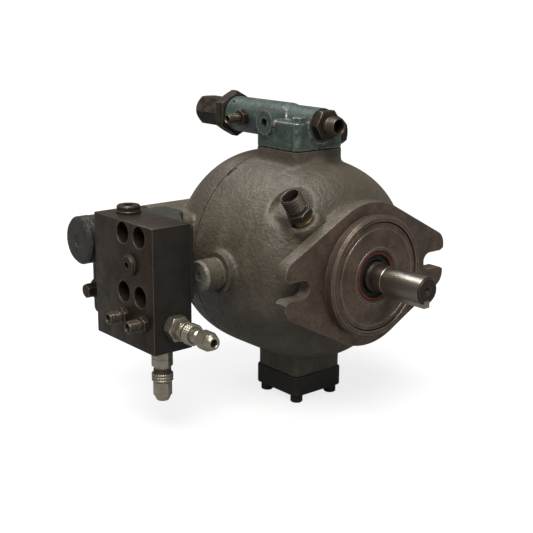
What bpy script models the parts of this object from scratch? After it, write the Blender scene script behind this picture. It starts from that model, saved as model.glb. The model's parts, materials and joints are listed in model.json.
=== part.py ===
"""Variable-displacement axial piston pump with a pressure compensator and a side manifold.

The design frame, in millimetres: the drive shaft lies along Y and points to -Y, the mounting
flange's face is the plane y = 0, the shaft's axis is x = z = 0 and Z is up.  place() moves that
frame to the model's frame, whose origin is the middle of the bounding box at the plane on which
the pump stands.
"""
import math

import bmesh
import bpy
from mathutils import Matrix, Vector

MM = 0.001
GAP = 0.3                                   # clearance that touching pieces keep

# Overall extents in the design frame
LEFT_END = -183.0                           # tips of the manifold's tube fittings
RIGHT_END = 113.0                           # cap of the right-hand trunnion
FRONT_END = -63.0                           # drive end of the shaft
REAR_END = 221.0                            # compensator's adjusting screw
FOOT_LEVEL = -126.0                         # heads of the bottom cover's screws

# Drum-shaped body: two castings that meet at SEAM
DRUM_RADIUS = 89.0
DRUM_MIDDLE = 111.0
DRUM_FRONT_REACH = 98.6
DRUM_REAR_REACH = 71.5
FRONT_ROUNDING = 3.6                        # exponents of the rounded ends' superellipses
REAR_ROUNDING = 3.2
SEAM = 121.0
GASKET = 0.8
CAVITY_RADIUS = 76.0
COVER_SCREW_CIRCLE = 81.5
COVER_SCREW_ANGLES = (75, 208, 280, 345)
POCKET_FLOOR = 139.0

# Two-bolt mounting flange: 101.6 mm pilot, bolts 146 mm apart
PILOT_RADIUS = 50.8
PILOT_LENGTH = 9.7
FLANGE_THICKNESS = 12.0
FLANGE_RADIUS = 60.5
EAR_ANGLE = 62.0                            # normal of the ears' straight edges, from +X
EAR_CORNER = 13.0
EAR_END = 91.0
BOLT_OFFSET = 73.0
SLOT_RADIUS = 7.4
SLOT_FLARE = 1.8                            # widening of the slot's mouth at each side
NECK_RADIUS = 57.0
CARRIER_RADIUS = 45.5
BEARING_RADIUS = 31.3

# Drive shaft: 22.2 mm, square 6.35 mm key
SHAFT_RADIUS = 11.1
SHAFT_JOURNAL = 12.4
SHAFT_REAR = 8.5
KEY = 6.35
KEY_START = -17.0

# Rotating group and swashplate
TILT_CENTRE = 82.0                          # swashplate's axis, through the ball centres
FULL_TILT = 15.0                            # degrees, at rest
PISTONS = 7
BALL_CIRCLE = 34.6
BORE_CIRCLE = 34.0
PISTON_RADIUS = 8.6
PISTON_LENGTH = 50.0
BORE_RADIUS = 9.8
BALL_RADIUS = 5.5
SOCKET_RADIUS = 6.1
SLIPPER_HEIGHT = 7.0
SLIPPER_RADIUS = 10.4
SLIPPER_NECK = 7.5
BARREL_RADIUS = 48.0
BARREL_FRONT = 98.0
BARREL_REAR = 152.0
VALVE_PLATE = 3.0
COVER_FACE = BARREL_REAR + GAP + VALVE_PLATE + GAP
TRUNNION_RADIUS = 9.0
TRUNNION_BORE = 13.5
TRUNNION_BOSS = 17.5
ARM_RADIUS = 64.0                           # control and bias pistons' distance from the axis
CONTROL_RADIUS = 9.0
CONTROL_TIP = 92.2
BIAS_TIP = 57.9

# Pads above and below the body
PAD_CENTRE = (-1.5, 87.0)
PAD_SIZE = (54.0, 54.0)
PAD_CORNER = 5.0
PAD_TOP = 95.0
BASE_CENTRE = (0.0, 85.0)
BASE_SIZE = 55.0
BASE_CORNER = 5.0
BASE_PAD = -101.0
COVER_BOTTOM = -119.0
BASE_SCREW_PITCH = 40.0
BASE_SCREW_HEAD = 5.4

# Compensator valve on the top pad
VALVE_AXIS = (0.0, 115.6)                   # x and z of its barrel
VALVE_RADIUS = 15.8
VALVE_FRONT = 60.0
VALVE_STEP = 99.0
VALVE_REAR = 172.0
VALVE_LEDGE = 119.0
NUT_REAR = 184.0
SPOOL_RADIUS = 5.0
SPRING_CHAMBER = 11.0

# Manifold block on the left-hand side
BLOCK_LOW = (-166.3, 68.0, -53.0)
BLOCK_HIGH = (-130.0, 152.5, 49.0)
SCREW_GRID = ((87.2, -9.2), (110.4, -9.2), (87.2, 39.0), (110.4, 39.0))
COUNTERBORE = 8.5
COUNTERBORE_DEPTH = 27.0
SCREW_HOLE = 5.3
SIDE_PLUG = (99.0, 15.0)
TOP_PLUG = (-146.0, 132.0)
TUBE_FITTINGS = {"tube_fitting_rear": (108.5, -28.5), "tube_fitting_front": (80.5, -29.0)}
FRONT_COUPLER = (-147.7, -31.9)
BOTTOM_COUPLER = (-148.5, 84.0)

# Side port adapter, inlet branch and drain
ADAPTER_SIDE = -129.7                       # its face against the manifold block
ADAPTER_OUTLINE = ((-129.7, 79.0), (-119.5, 79.0), (-116.0, 98.0), (-103.0, 120.0), (-94.3, 128.0),
                   (-94.3, 155.5), (-129.7, 155.5))
ADAPTER_LEVELS = (-18.0, 45.0)
PRESSURE_PORT = (160.0, -14.0)               # y and z on the rear cover's side pad
INLET_AXIS = (178.0, 20.0)                  # y and z of the inlet bore, which lies along X
INLET_RADIUS = 20.0
INLET_BORE = 11.0
INLET_END = -156.0
PLUG_LEVEL = -25.0
DRAIN_FOOT = (-50.5, 25.0, 47.0)
DRAIN_AXIS = (-0.565, 0.0, 0.825)

# Sides of round pieces, by size
LARGE_ROUND = 32
MEDIUM_ROUND = 20
ROUND = 14
SMALL_ROUND = 10
THREAD_SIDES = 8


def place(x, y, z):
    """A point of the design frame, in metres in the model's frame."""
    origin = Vector(((LEFT_END + RIGHT_END) / 2, (FRONT_END + REAR_END) / 2, FOOT_LEVEL))
    return (Vector((x, y, z)) - origin) * MM


def collection(name):
    """A new collection in the scene."""
    group = bpy.data.collections.new(name)
    bpy.context.scene.collection.children.link(group)
    return group


def finish_material(name, colour, metallic, roughness):
    """A Principled material."""
    material = bpy.data.materials.new(name)
    material.use_nodes = True
    shader = material.node_tree.nodes["Principled BSDF"]
    shader.inputs["Base Color"].default_value = (*colour, 1.0)
    shader.inputs["Metallic"].default_value = metallic
    shader.inputs["Roughness"].default_value = roughness
    return material


def stand(obj, at, toward):
    """Put the object's origin at a point, with its local Z along a direction."""
    turn = Vector((0, 0, 1)).rotation_difference(Vector(toward).normalized())
    obj.matrix_world = Matrix.Translation(place(*at)) @ turn.to_matrix().to_4x4()


def as_mesh(obj):
    """Turn an object with modifiers, or a curve, into a plain closed mesh object."""
    bpy.context.view_layer.update()
    mesh = bpy.data.meshes.new_from_object(obj.evaluated_get(bpy.context.evaluated_depsgraph_get()))
    work = bmesh.new()
    work.from_mesh(mesh)
    bmesh.ops.remove_doubles(work, verts=work.verts, dist=1e-6)
    bmesh.ops.dissolve_limit(work, angle_limit=math.radians(0.5), verts=work.verts, edges=work.edges)
    work.to_mesh(mesh)
    work.free()
    mesh.shade_smooth()
    mesh.set_sharp_from_angle(angle=math.radians(32))
    name = obj.name
    matrix = obj.matrix_world.copy()
    bpy.data.objects.remove(obj)
    new = bpy.data.objects.new(name, mesh)
    new.matrix_world = matrix
    return new


def turned(name, profile, at=(0, 0, 0), toward=(0, 1, 0), sides=ROUND):
    """A turned piece: (radius, height) points about an axis that starts at a point.

    A profile whose ends lie on the axis is a solid; any other one is closed into a ring.
    """
    points = list(profile)
    closed = points[0][0] > 0 or points[-1][0] > 0
    area = sum(a[0] * b[1] - b[0] * a[1] for a, b in zip(points, points[1:] + points[:1]))
    if area > 0:
        points.reverse()
    edges = [(i, i + 1) for i in range(len(points) - 1)]
    if closed:
        edges.append((len(points) - 1, 0))
    mesh = bpy.data.meshes.new(name)
    mesh.from_pydata([(r * MM, 0, h * MM) for r, h in points], edges, [])
    obj = bpy.data.objects.new(name, mesh)
    bpy.context.scene.collection.objects.link(obj)
    screw = obj.modifiers.new("turn", "SCREW")
    screw.axis = "Z"
    screw.steps = sides
    screw.render_steps = sides
    screw.use_merge_vertices = True
    screw.merge_threshold = 1e-5
    obj = as_mesh(obj)
    stand(obj, at, toward)
    return obj


def rod(name, radius, start, end, at, toward, sides=ROUND):
    """A plain round bar, or a hexagonal one with six sides."""
    return turned(name, [(0, start), (radius, start), (radius, end), (0, end)], at, toward, sides)


def hexagon(name, flats, start, end, at, toward, chamfer=1.0):
    """A hexagonal bar with turned-down corners, sized across its flats."""
    corner = flats / math.sqrt(3)
    profile = [(0, start), (corner - chamfer, start), (corner, start + chamfer / 2),
               (corner, end - chamfer / 2), (corner - chamfer, end), (0, end)]
    return turned(name, profile, at, toward, 6)


def block(name, low, high, bevel=0.0, segments=2):
    """A box between two corners, with rounded edges."""
    mesh = bpy.data.meshes.new(name)
    work = bmesh.new()
    bmesh.ops.create_cube(work, size=1.0)
    size = Vector(high) - Vector(low)
    bmesh.ops.scale(work, vec=size * MM, verts=work.verts)
    if bevel:
        bmesh.ops.bevel(work, geom=work.edges[:], offset=bevel * MM, segments=segments, affect="EDGES")
    work.to_mesh(mesh)
    work.free()
    obj = bpy.data.objects.new(name, mesh)
    obj.matrix_world = Matrix.Translation(place(*((Vector(low) + Vector(high)) / 2)))
    return obj


def arc(centre, radius, start, end, steps):
    """Points on an arc, angles in degrees."""
    angles = [math.radians(start + (end - start) * i / steps) for i in range(steps + 1)]
    return [(centre[0] + radius * math.cos(a), centre[1] + radius * math.sin(a)) for a in angles]


def rounded_rectangle(width, depth, corner, steps=5):
    """Outline of a rectangle with round corners, about its middle."""
    a = width / 2 - corner
    b = depth / 2 - corner
    outline = []
    for centre, start in (((a, b), 0), ((-a, b), 90), ((-a, -b), 180), ((a, -b), 270)):
        outline += arc(centre, corner, start, start + 90, steps)
    return outline


def plate(name, outline, thickness, at, toward):
    """A flat outline, thickened both ways from a point along a direction."""
    curve = bpy.data.curves.new(name, "CURVE")
    curve.dimensions = "2D"
    curve.fill_mode = "BOTH"
    curve.extrude = thickness / 2 * MM
    spline = curve.splines.new("POLY")
    spline.points.add(len(outline) - 1)
    for point, (x, y) in zip(spline.points, outline):
        point.co = (x * MM, y * MM, 0, 1)
    spline.use_cyclic_u = True
    obj = bpy.data.objects.new(name, curve)
    bpy.context.scene.collection.objects.link(obj)
    obj = as_mesh(obj)
    stand(obj, at, toward)
    return obj


def drilling(start, end, radius, sides=SMALL_ROUND):
    """A straight oil passage between two points, as a cutter."""
    run = Vector(end) - Vector(start)
    return rod("drilling", radius, 0, run.length, start, run, sides)


def holes_along(name, radius, start, end, places, sides=SMALL_ROUND):
    """A cutter of parallel rods along the shaft, at places given in x and z."""
    return merged(name, [rod("hole", radius, start, end, (x, 0, z), (0, 1, 0), sides) for x, z in places])


def merged(name, objects):
    """One cutter made of separate bodies."""
    work = bmesh.new()
    for obj in objects:
        copy = obj.data.copy()
        copy.transform(obj.matrix_world)
        work.from_mesh(copy)
        bpy.data.meshes.remove(copy)
        bpy.data.objects.remove(obj)
    mesh = bpy.data.meshes.new(name)
    work.to_mesh(mesh)
    work.free()
    return bpy.data.objects.new(name, mesh)


def combine(base, tool, operation):
    """Join a tool to a piece, or cut it away, and keep the tool out of the model."""
    TOOLS.objects.link(tool)
    tool.hide_render = True
    tool.display_type = "WIRE"
    change = base.modifiers.new(tool.name, "BOOLEAN")
    change.operation = operation
    change.object = tool
    return base


def join(base, *tools):
    """Join tools to a piece."""
    for tool in tools:
        combine(base, tool, "UNION")
    return base


def cut(base, *tools):
    """Cut tools out of a piece."""
    for tool in tools:
        combine(base, tool, "DIFFERENCE")
    return base


def add(obj, material, parent=None):
    """Put a finished piece into the pump's collection."""
    obj.data.materials.clear()
    obj.data.materials.append(material)
    PUMP.objects.link(obj)
    if parent:
        matrix = obj.matrix_world.copy()
        obj.parent = parent
        obj.matrix_parent_inverse = parent.matrix_world.inverted()
        obj.matrix_world = matrix
    return obj


def drum_profile(reach, rounding, start, steps):
    """Radius and place along the shaft of the body's rounded end, from a start angle to the middle."""
    points = []
    for i in range(steps):
        angle = math.radians(start + (90 - start) * i / steps)
        along = DRUM_MIDDLE + reach * math.cos(angle) ** (2 / rounding)
        points.append((DRUM_RADIUS * math.sin(angle) ** (2 / rounding), along))
    return points


def flange_outline():
    """Mounting flange: a round middle with two ears."""
    slope = math.radians(EAR_ANGLE)
    across = EAR_END - EAR_CORNER
    corner = (across, (FLANGE_RADIUS - EAR_CORNER - across * math.cos(slope)) / math.sin(slope))
    upper = arc((0, 0), FLANGE_RADIUS, 90, EAR_ANGLE, 4) + arc(corner, EAR_CORNER, EAR_ANGLE, 0, 5)
    right = upper + [(x, -z) for x, z in reversed(upper)]
    left = [(-x, z) for x, z in reversed(right[1:-1])]
    return right + left


def bolt_slots():
    """The flange's two bolt slots, which open outward with a flared mouth."""
    mouth = [(BOLT_OFFSET + 13.5, -SLOT_RADIUS), (EAR_END + 9, -SLOT_RADIUS - 4 * SLOT_FLARE),
             (EAR_END + 9, SLOT_RADIUS + 4 * SLOT_FLARE), (BOLT_OFFSET + 13.5, SLOT_RADIUS)]
    outline = arc((BOLT_OFFSET, 0), SLOT_RADIUS, 90, 270, 8) + mouth
    slots = []
    for side in (1, -1):
        slots.append(plate("bolt_slot", [(side * x, z) for x, z in outline], 30, (0, 0, 0), (0, -1, 0)))
    return slots


def pump_housing(material):
    """Front casting: drum, flange, pilot, pads, trunnion and drain bosses, hollow inside."""
    front = drum_profile(-DRUM_FRONT_REACH, FRONT_ROUNDING, 27, 8)
    drum = turned("pump_housing", [(0, 3), (NECK_RADIUS, 3)] + front
                  + [(DRUM_RADIUS, DRUM_MIDDLE), (DRUM_RADIUS, SEAM), (0, SEAM)], sides=LARGE_ROUND)
    flange = plate("flange", flange_outline(), FLANGE_THICKNESS, (0, FLANGE_THICKNESS / 2, 0),
                   (0, -1, 0))
    pilot = turned("pilot", [(0, 8), (PILOT_RADIUS, 8), (PILOT_RADIUS, 1.6 - PILOT_LENGTH),
                             (PILOT_RADIUS - 1.6, -PILOT_LENGTH), (0, -PILOT_LENGTH)], sides=LARGE_ROUND)
    top = plate("top_pad", rounded_rectangle(*PAD_SIZE, PAD_CORNER), 35,
                (*PAD_CENTRE, PAD_TOP - 17.5), (0, 0, 1))
    base = plate("base_pad", rounded_rectangle(BASE_SIZE - 2, BASE_SIZE - 2, BASE_CORNER), 35,
                 (*BASE_CENTRE, BASE_PAD + 17.5), (0, 0, 1))
    trunnion = (0, TILT_CENTRE, 0)
    bosses = rod("trunnion_bosses", TRUNNION_BOSS, -94.5, 94.5, trunnion, (1, 0, 0), MEDIUM_ROUND)
    drain = turned("drain_boss", [(0, -26), (16, -26), (13, 1), (0, 1)], DRAIN_FOOT, DRAIN_AXIS,
                   MEDIUM_ROUND)
    join(drum, flange, pilot, top, base, bosses, drain)
    carrier_seat = rod("carrier_seat", CARRIER_RADIUS, -20, 9, (0, 0, 0), (0, 1, 0), LARGE_ROUND)
    cavity = turned("cavity", [(0, 5), (22, 5), (22, 15), (BEARING_RADIUS, 15), (BEARING_RADIUS, 39),
                               (66, 39), (CAVITY_RADIUS, 50), (CAVITY_RADIUS, 140), (0, 140)],
                    sides=MEDIUM_ROUND)
    bores = rod("trunnion_bores", TRUNNION_BORE, -120, 120, trunnion, (1, 0, 0), MEDIUM_ROUND)
    drain_face = rod("drain_face", 12.5, 1, 30, DRAIN_FOOT, DRAIN_AXIS, MEDIUM_ROUND)
    drain_hole = rod("drain_hole", 5.5, -30, 5, DRAIN_FOOT, DRAIN_AXIS)
    threads = holes_along("cover_threads", 3.6, SEAM - 22, SEAM + 5, cover_screw_places(), THREAD_SIDES)
    base_threads = merged("base_threads", [
        rod("thread", 3.5, -14, 5, (*spot, BASE_PAD), (0, 0, -1), THREAD_SIDES)
        for spot in base_screw_places()])
    cut(drum, *bolt_slots(), carrier_seat, cavity, bores, drain_face, drain_hole, threads, base_threads)
    return add(drum, material)


def cover_screw_places():
    """The rear cover's screws, in x and z."""
    angles = [math.radians(angle) for angle in COVER_SCREW_ANGLES]
    return [(COVER_SCREW_CIRCLE * math.cos(a), COVER_SCREW_CIRCLE * math.sin(a)) for a in angles]


def base_screw_places():
    """The four bottom cover screws, in x and y."""
    half = BASE_SCREW_PITCH / 2
    return [(BASE_CENTRE[0] + x, BASE_CENTRE[1] + y) for x in (-half, half) for y in (-half, half)]


def rear_cover(material):
    """Rear casting: domed drum end with the port passages, the control and the bias bores."""
    face = SEAM + GASKET + 2 * GAP
    rear = [point for point in drum_profile(DRUM_REAR_REACH, REAR_ROUNDING, 0, 10) if point[1] > face + 3]
    dome = turned("rear_cover", rear + [(DRUM_RADIUS - 0.4, face), (0, face)], sides=LARGE_ROUND)
    pad = block("pressure_pad", (-94, 128, -32), (-40, 172, 38), 6)
    inlet = rod("inlet_boss", INLET_RADIUS + 1.5, -100, 46, (0, *INLET_AXIS), (1, 0, 0), MEDIUM_ROUND)
    join(dome, pad, inlet)
    room = BARREL_RADIUS + 3.5
    cavity = turned("cover_cavity", [(0, 100), (room, 100), (room, COVER_FACE), (12, COVER_FACE), (12, 165),
                                     (0, 165)], sides=MEDIUM_ROUND)
    control = rod("control_bore", CONTROL_RADIUS + GAP, 100, 166, (0, 0, ARM_RADIUS), (0, 1, 0))
    bias = rod("bias_bore", 12, 100, 160, (0, 0, -ARM_RADIUS), (0, 1, 0))
    y, z = PRESSURE_PORT
    drillings = [drilling((-115, y, z), (-29, y, z), 6.5), drilling((-33, 148, z), (-33, y + 4, z), 5.9),
                 drilling((-115, *INLET_AXIS), (36, *INLET_AXIS), INLET_BORE - 1, ROUND),
                 drilling((33, 148, 14), (33, 180, 14), 8)]
    pockets = holes_along("screw_pockets", 7.5, POCKET_FLOOR, 190, cover_screw_places())
    holes = holes_along("screw_holes", 4.1, 110, POCKET_FLOOR + 5, cover_screw_places(), THREAD_SIDES)
    return add(cut(dome, cavity, control, bias, *drillings, pockets, holes), material)


def shaft_group(materials, parent):
    """Drive shaft with its key, the barrel and its spring: everything that turns with the shaft."""
    end = FRONT_END
    shaft = turned("drive_shaft", [(0, end + 4.2), (1.5, end + 3.2), (1.5, end + 2), (3, end),
                                   (SHAFT_RADIUS - 1, end), (SHAFT_RADIUS, end + 1), (SHAFT_RADIUS, -9.6),
                                   (SHAFT_JOURNAL, -8.4), (SHAFT_JOURNAL, 40), (11.5, 41), (11.5, 104),
                                   (11.9, 105), (11.9, 150), (SHAFT_REAR, 151), (SHAFT_REAR, 164), (0, 164)],
                   sides=20)
    half = KEY / 2
    keyway = block("keyway", (-half - GAP, end - 5, -SHAFT_RADIUS - 3),
                   (half + GAP, KEY_START + 1, GAP - 8))
    key = block("shaft_key", (-half, end + GAP, -8 - KEY + GAP), (half, KEY_START, -8), 0.4, 1)
    add(cut(shaft, keyway), materials["steel"], parent)
    add(key, materials["steel"], parent)
    barrel = turned("cylinder_barrel", [(12.3, BARREL_FRONT), (BARREL_RADIUS - 1, BARREL_FRONT),
                                        (BARREL_RADIUS, BARREL_FRONT + 1), (BARREL_RADIUS, BARREL_REAR),
                                        (14, BARREL_REAR), (12.3, BARREL_REAR - 2), (12.3, 136), (18, 134),
                                        (18, 108), (12.3, 106)], sides=MEDIUM_ROUND)
    circle = on_circle(BORE_CIRCLE)
    bores = holes_along("bores", BORE_RADIUS, BARREL_FRONT - 5, BARREL_REAR - 6, circle)
    ports = holes_along("barrel_ports", 5, BARREL_REAR - 8, BARREL_REAR + 5, circle, THREAD_SIDES)
    add(cut(barrel, bores, ports), materials["steel"], parent)
    add(coil("barrel_spring", 15.0, 1.2, 109.5, 132.5, 4), materials["dark_steel"], parent)


def coil(name, radius, wire, start, end, turns):
    """A helical spring along the shaft's axis."""
    steps = 10 * turns
    curve = bpy.data.curves.new(name, "CURVE")
    curve.dimensions = "3D"
    curve.bevel_depth = wire * MM
    curve.bevel_resolution = 0
    curve.use_fill_caps = True
    spline = curve.splines.new("POLY")
    spline.points.add(steps)
    for i, point in enumerate(spline.points):
        angle = math.tau * turns * i / steps
        along = start + wire + (end - start - 2 * wire) * i / steps
        point.co = (*place(radius * math.cos(angle), along, radius * math.sin(angle)), 1)
    obj = bpy.data.objects.new(name, curve)
    bpy.context.scene.collection.objects.link(obj)
    return as_mesh(obj)


def on_circle(radius):
    """x and z of the pistons on a circle about the shaft."""
    angles = [math.tau * i / PISTONS for i in range(PISTONS)]
    return [(radius * math.cos(a), radius * math.sin(a)) for a in angles]


def swash_group(materials, pivot):
    """Swashplate, retainer plate and slippers, modelled square to the shaft and tilted by the pivot."""
    front = TILT_CENTRE - 19
    face = TILT_CENTRE - SLIPPER_HEIGHT - GAP
    swash = turned("swashplate", [(20, front), (47, front), (47, face), (20, face)], sides=MEDIUM_ROUND)
    for side in (-1, 1):
        low = sorted((side * 42, side * 57))
        cheek = sorted((side * 49, side * 57))
        root = block("cheek_root", (low[0], front, -12), (low[1], face - 0.5, 12))
        wall = block("cheek", (cheek[0], front + 0.5, -11.5), (cheek[1], TILT_CENTRE + 9, 11.5), 2, 1)
        pin = rod("trunnion_pin", TRUNNION_RADIUS, 50, 83.5, (0, TILT_CENTRE, 0), (side, 0, 0))
        join(swash, root, wall, pin)
    top_arm = block("control_arm", (-9, front + 0.4, 40), (9, TILT_CENTRE - 8, 70), 1.5, 1)
    low_arm = block("bias_arm", (-9, front + 0.4, -72), (9, TILT_CENTRE - 8, -40), 1.5, 1)
    join(swash, top_arm, low_arm)
    retainer = turned("retainer_plate", [(22, TILT_CENTRE - 3.7), (46, TILT_CENTRE - 3.7),
                                         (46, TILT_CENTRE - 1.2), (22, TILT_CENTRE - 1.2)],
                      sides=MEDIUM_ROUND)
    holes = holes_along("slipper_holes", SLIPPER_NECK + 2 * GAP, 70, 90, on_circle(BALL_CIRCLE))
    cut(retainer, holes)
    add(swash, materials["steel"])
    add(retainer, materials["bronze"])
    lip = 3.0
    rim = math.degrees(math.asin(lip / SOCKET_RADIUS))
    socket = arc((0, 0), SOCKET_RADIUS, rim, -90, 4)
    socket[-1] = (0, -SOCKET_RADIUS)
    profile = [(0, -SLIPPER_HEIGHT), (SLIPPER_RADIUS, -SLIPPER_HEIGHT), (SLIPPER_RADIUS, -4),
               (SLIPPER_NECK, -4), (SLIPPER_NECK, lip)] + socket
    slippers = [turned(f"slipper_{i + 1}", profile, (x, TILT_CENTRE, z), sides=SMALL_ROUND)
                for i, (x, z) in enumerate(on_circle(BALL_CIRCLE))]
    for slipper in slippers:
        add(slipper, materials["bronze"])
    tilt = Matrix.Rotation(-math.radians(FULL_TILT), 4, "X")
    about = Matrix.Translation(pivot.location)
    turn = about @ tilt @ about.inverted()
    for obj in [swash, retainer] + slippers + [m.object for p in (swash, retainer) for m in p.modifiers]:
        obj.matrix_world = turn @ obj.matrix_world
    for obj in [swash, retainer] + slippers:
        settle(obj, pivot)
    return [slipper.matrix_world.translation.copy() for slipper in slippers]


def settle(obj, pivot):
    """Parent a piece to an empty without moving it."""
    matrix = obj.matrix_world.copy()
    obj.parent = pivot
    obj.matrix_world = matrix


def pistons(material, centres, parent):
    """Ball-ended hollow pistons, parallel to the shaft, one at each slipper's ball centre."""
    neck = 3.2
    ball = arc((0, 0), BALL_RADIUS, -90, math.degrees(math.acos(neck / BALL_RADIUS)), 5)
    ball[0] = (0, -BALL_RADIUS)
    profile = ball + [(neck, 7), (PISTON_RADIUS, 11), (PISTON_RADIUS, PISTON_LENGTH), (5.6, PISTON_LENGTH),
                      (5.6, 20), (0, 18)]
    for i, centre in enumerate(centres):
        piston = turned(f"piston_{i + 1}", profile, sides=SMALL_ROUND)
        piston.matrix_world = Matrix.Translation(centre) @ piston.matrix_world.to_3x3().to_4x4()
        add(piston, material, parent)


def control_pieces(materials):
    """Control piston above the barrel, bias piston below it."""
    control = turned("control_piston", [(0, CONTROL_TIP), (3, CONTROL_TIP), (6, CONTROL_TIP + 5),
                                        (6, 118), (CONTROL_RADIUS, 120), (CONTROL_RADIUS, 140), (0, 140)],
                     (0, 0, ARM_RADIUS), sides=ROUND)
    bias = turned("bias_piston", [(0, BIAS_TIP), (3, BIAS_TIP), (5, BIAS_TIP + 4), (5, 76), (11.5, 78),
                                  (11.5, 82), (6, 83), (6, 134), (0, 134)], (0, 0, -ARM_RADIUS), sides=ROUND)
    add(control, materials["steel"])
    add(bias, materials["steel"])


def front_pieces(materials):
    """Seal carrier, shaft seal and the bearings."""
    carrier = turned("seal_carrier", [(CARRIER_RADIUS - GAP, 8.7), (CARRIER_RADIUS - GAP, -7.7),
                                      (CARRIER_RADIUS - 1.1, -8.5), (21, -8.5), (20.4, -7.9), (20.4, 3),
                                      (16, 3), (16, 8.7)], sides=LARGE_ROUND)
    seal = turned("shaft_seal", [(20.1, 2.7), (20.1, -5.4), (18.2, -5.4), (17.4, -4), (13.6, -5),
                                 (12.8, -3.6), (13.6, 0), (13.6, 2.7)], sides=20)
    front = turned("front_bearing", [(30.8, 15.3), (30.8, 33), (26, 33), (25, 31.6), (19, 31.6), (18, 33),
                                     (12.7, 33), (12.7, 15.3)], sides=20)
    rear = turned("rear_bearing", [(11.7, 156.6), (11.7, 164.6), (8.8, 164.6), (8.8, 156.6)])
    add(carrier, materials["machined_iron"])
    add(seal, materials["rubber"])
    add(front, materials["steel"])
    add(rear, materials["steel"])
    for side, label in ((-1, "left"), (1, "right")):
        at = (0, TILT_CENTRE, 0)
        out = (side, 0, 0)
        sleeve = [(13.2, 68), (13.2, 84.5), (9.5, 84.5), (9.5, 68)]
        bush = turned(f"trunnion_bearing_{label}", sleeve, at, out)
        lid = [(0, 85.2), (13.2, 85.2), (13.2, RIGHT_END - 1.6), (11.6, RIGHT_END), (0, RIGHT_END)]
        cap = turned(f"trunnion_cap_{label}", lid, at, out, MEDIUM_ROUND)
        add(bush, materials["bronze"])
        add(cap, materials["grey_paint"])


def valve_plate(material):
    """Port plate with a kidney slot on either side."""
    y = COVER_FACE - GAP
    ring = turned("valve_plate", [(13, y - VALVE_PLATE), (BARREL_RADIUS, y - VALVE_PLATE), (BARREL_RADIUS, y),
                                  (13, y)], sides=MEDIUM_ROUND)
    kidney = arc((0, 0), 38.5, -62, 62, 7) + arc((0, 0), 29.5, 62, -62, 7)
    slots = []
    for side in (1, -1):
        slots.append(plate("kidney", [(side * x, z) for x, z in kidney], 12, (0, y, 0), (0, -1, 0)))
    return add(cut(ring, *slots), material)


def compensator(materials):
    """Pressure compensator on the top pad: body, end nut, adjusting screw, spool and fittings."""
    x, z = VALVE_AXIS
    at = (x, 0, z)
    low = PAD_TOP + GAP
    outline = rounded_rectangle(PAD_SIZE[0] - 1, PAD_SIZE[1] - 1, PAD_CORNER - 0.5)
    body = plate("compensator_body", outline, VALVE_LEDGE - low,
                 (*PAD_CENTRE, (VALVE_LEDGE + low) / 2), (0, 0, 1))
    slim = VALVE_RADIUS - 1.2
    barrel = turned("valve_barrel", [(0, VALVE_FRONT), (slim - 1, VALVE_FRONT), (slim, VALVE_FRONT + 1),
                                     (slim, VALVE_STEP - 4), (VALVE_RADIUS, VALVE_STEP),
                                     (VALVE_RADIUS, VALVE_REAR), (0, VALVE_REAR)], at, sides=MEDIUM_ROUND)
    cross = (x, 99.5, 116.5)
    boss = rod("cross_boss", 10.5, 0, 30.5, cross, (-1, 0, 0))
    join(body, barrel, boss)
    run = SPOOL_RADIUS + GAP
    bore = turned("spool_bore", [(0, 55), (8, 55), (8, 74), (run, 76), (run, 120), (SPRING_CHAMBER, 122),
                                 (SPRING_CHAMBER, 180), (0, 180)], at, sides=ROUND)
    pilot = rod("pilot_port", 4, 8, 20, (x, 144, z), (-1, 0, 0), SMALL_ROUND)
    socket = rod("screw_port", 4.2, 20, 40, cross, (-1, 0, 0), SMALL_ROUND)
    side = rod("side_port", 7, 10, 40, (x, 76, 107), (1, 0, 0), SMALL_ROUND)
    add(cut(body, bore, pilot, socket, side), materials["green_paint"])
    nut = hexagon("compensator_nut", 36, VALVE_REAR + GAP, NUT_REAR, at, (0, 1, 0), 2.2)
    nut_bore = rod("nut_bore", 8, 160, 200, at, (0, 1, 0))
    add(cut(nut, nut_bore), materials["rusty_steel"])
    screw = hexagon("adjusting_screw", 25, NUT_REAR + GAP, REAR_END, at, (0, 1, 0), 4)
    stem = rod("adjusting_stem", 7.6, 162, 200, at, (0, 1, 0), ROUND)
    add(join(screw, stem), materials["rusty_steel"])
    spool = turned("compensator_spool", [(0, 76), (SPOOL_RADIUS, 76), (SPOOL_RADIUS, 86), (3.2, 87),
                                         (3.2, 97), (SPOOL_RADIUS, 98), (SPOOL_RADIUS, 122), (8, 124),
                                         (8, 127), (0, 127)], at, sides=SMALL_ROUND)
    add(spool, materials["steel"])
    side_plug = hexagon("side_plug", 23, 26.8, 34.2, (x, 76, 107), (1, 0, 0), 1.5)
    plug_stem = rod("plug_stem", 6.7, 14, 30, (x, 76, 107), (1, 0, 0), SMALL_ROUND)
    add(join(side_plug, plug_stem), materials["rusty_steel"])
    fitting("pressure_fitting", materials["dark_steel"], (x, VALVE_FRONT - GAP, z + 1), (0, -1, 0),
            flats=25, hexagon_span=(0, 9), thread=8.6, length=20, bore=5.6, stem=(6.5, 9))
    fitting("pilot_fitting", materials["dark_steel"], (x - VALVE_RADIUS - GAP, 144, z), (-1, 0, 0),
            flats=13, hexagon_span=(0, 6), thread=4.4, length=19, bore=2.9, stem=(3.6, 4))


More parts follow.
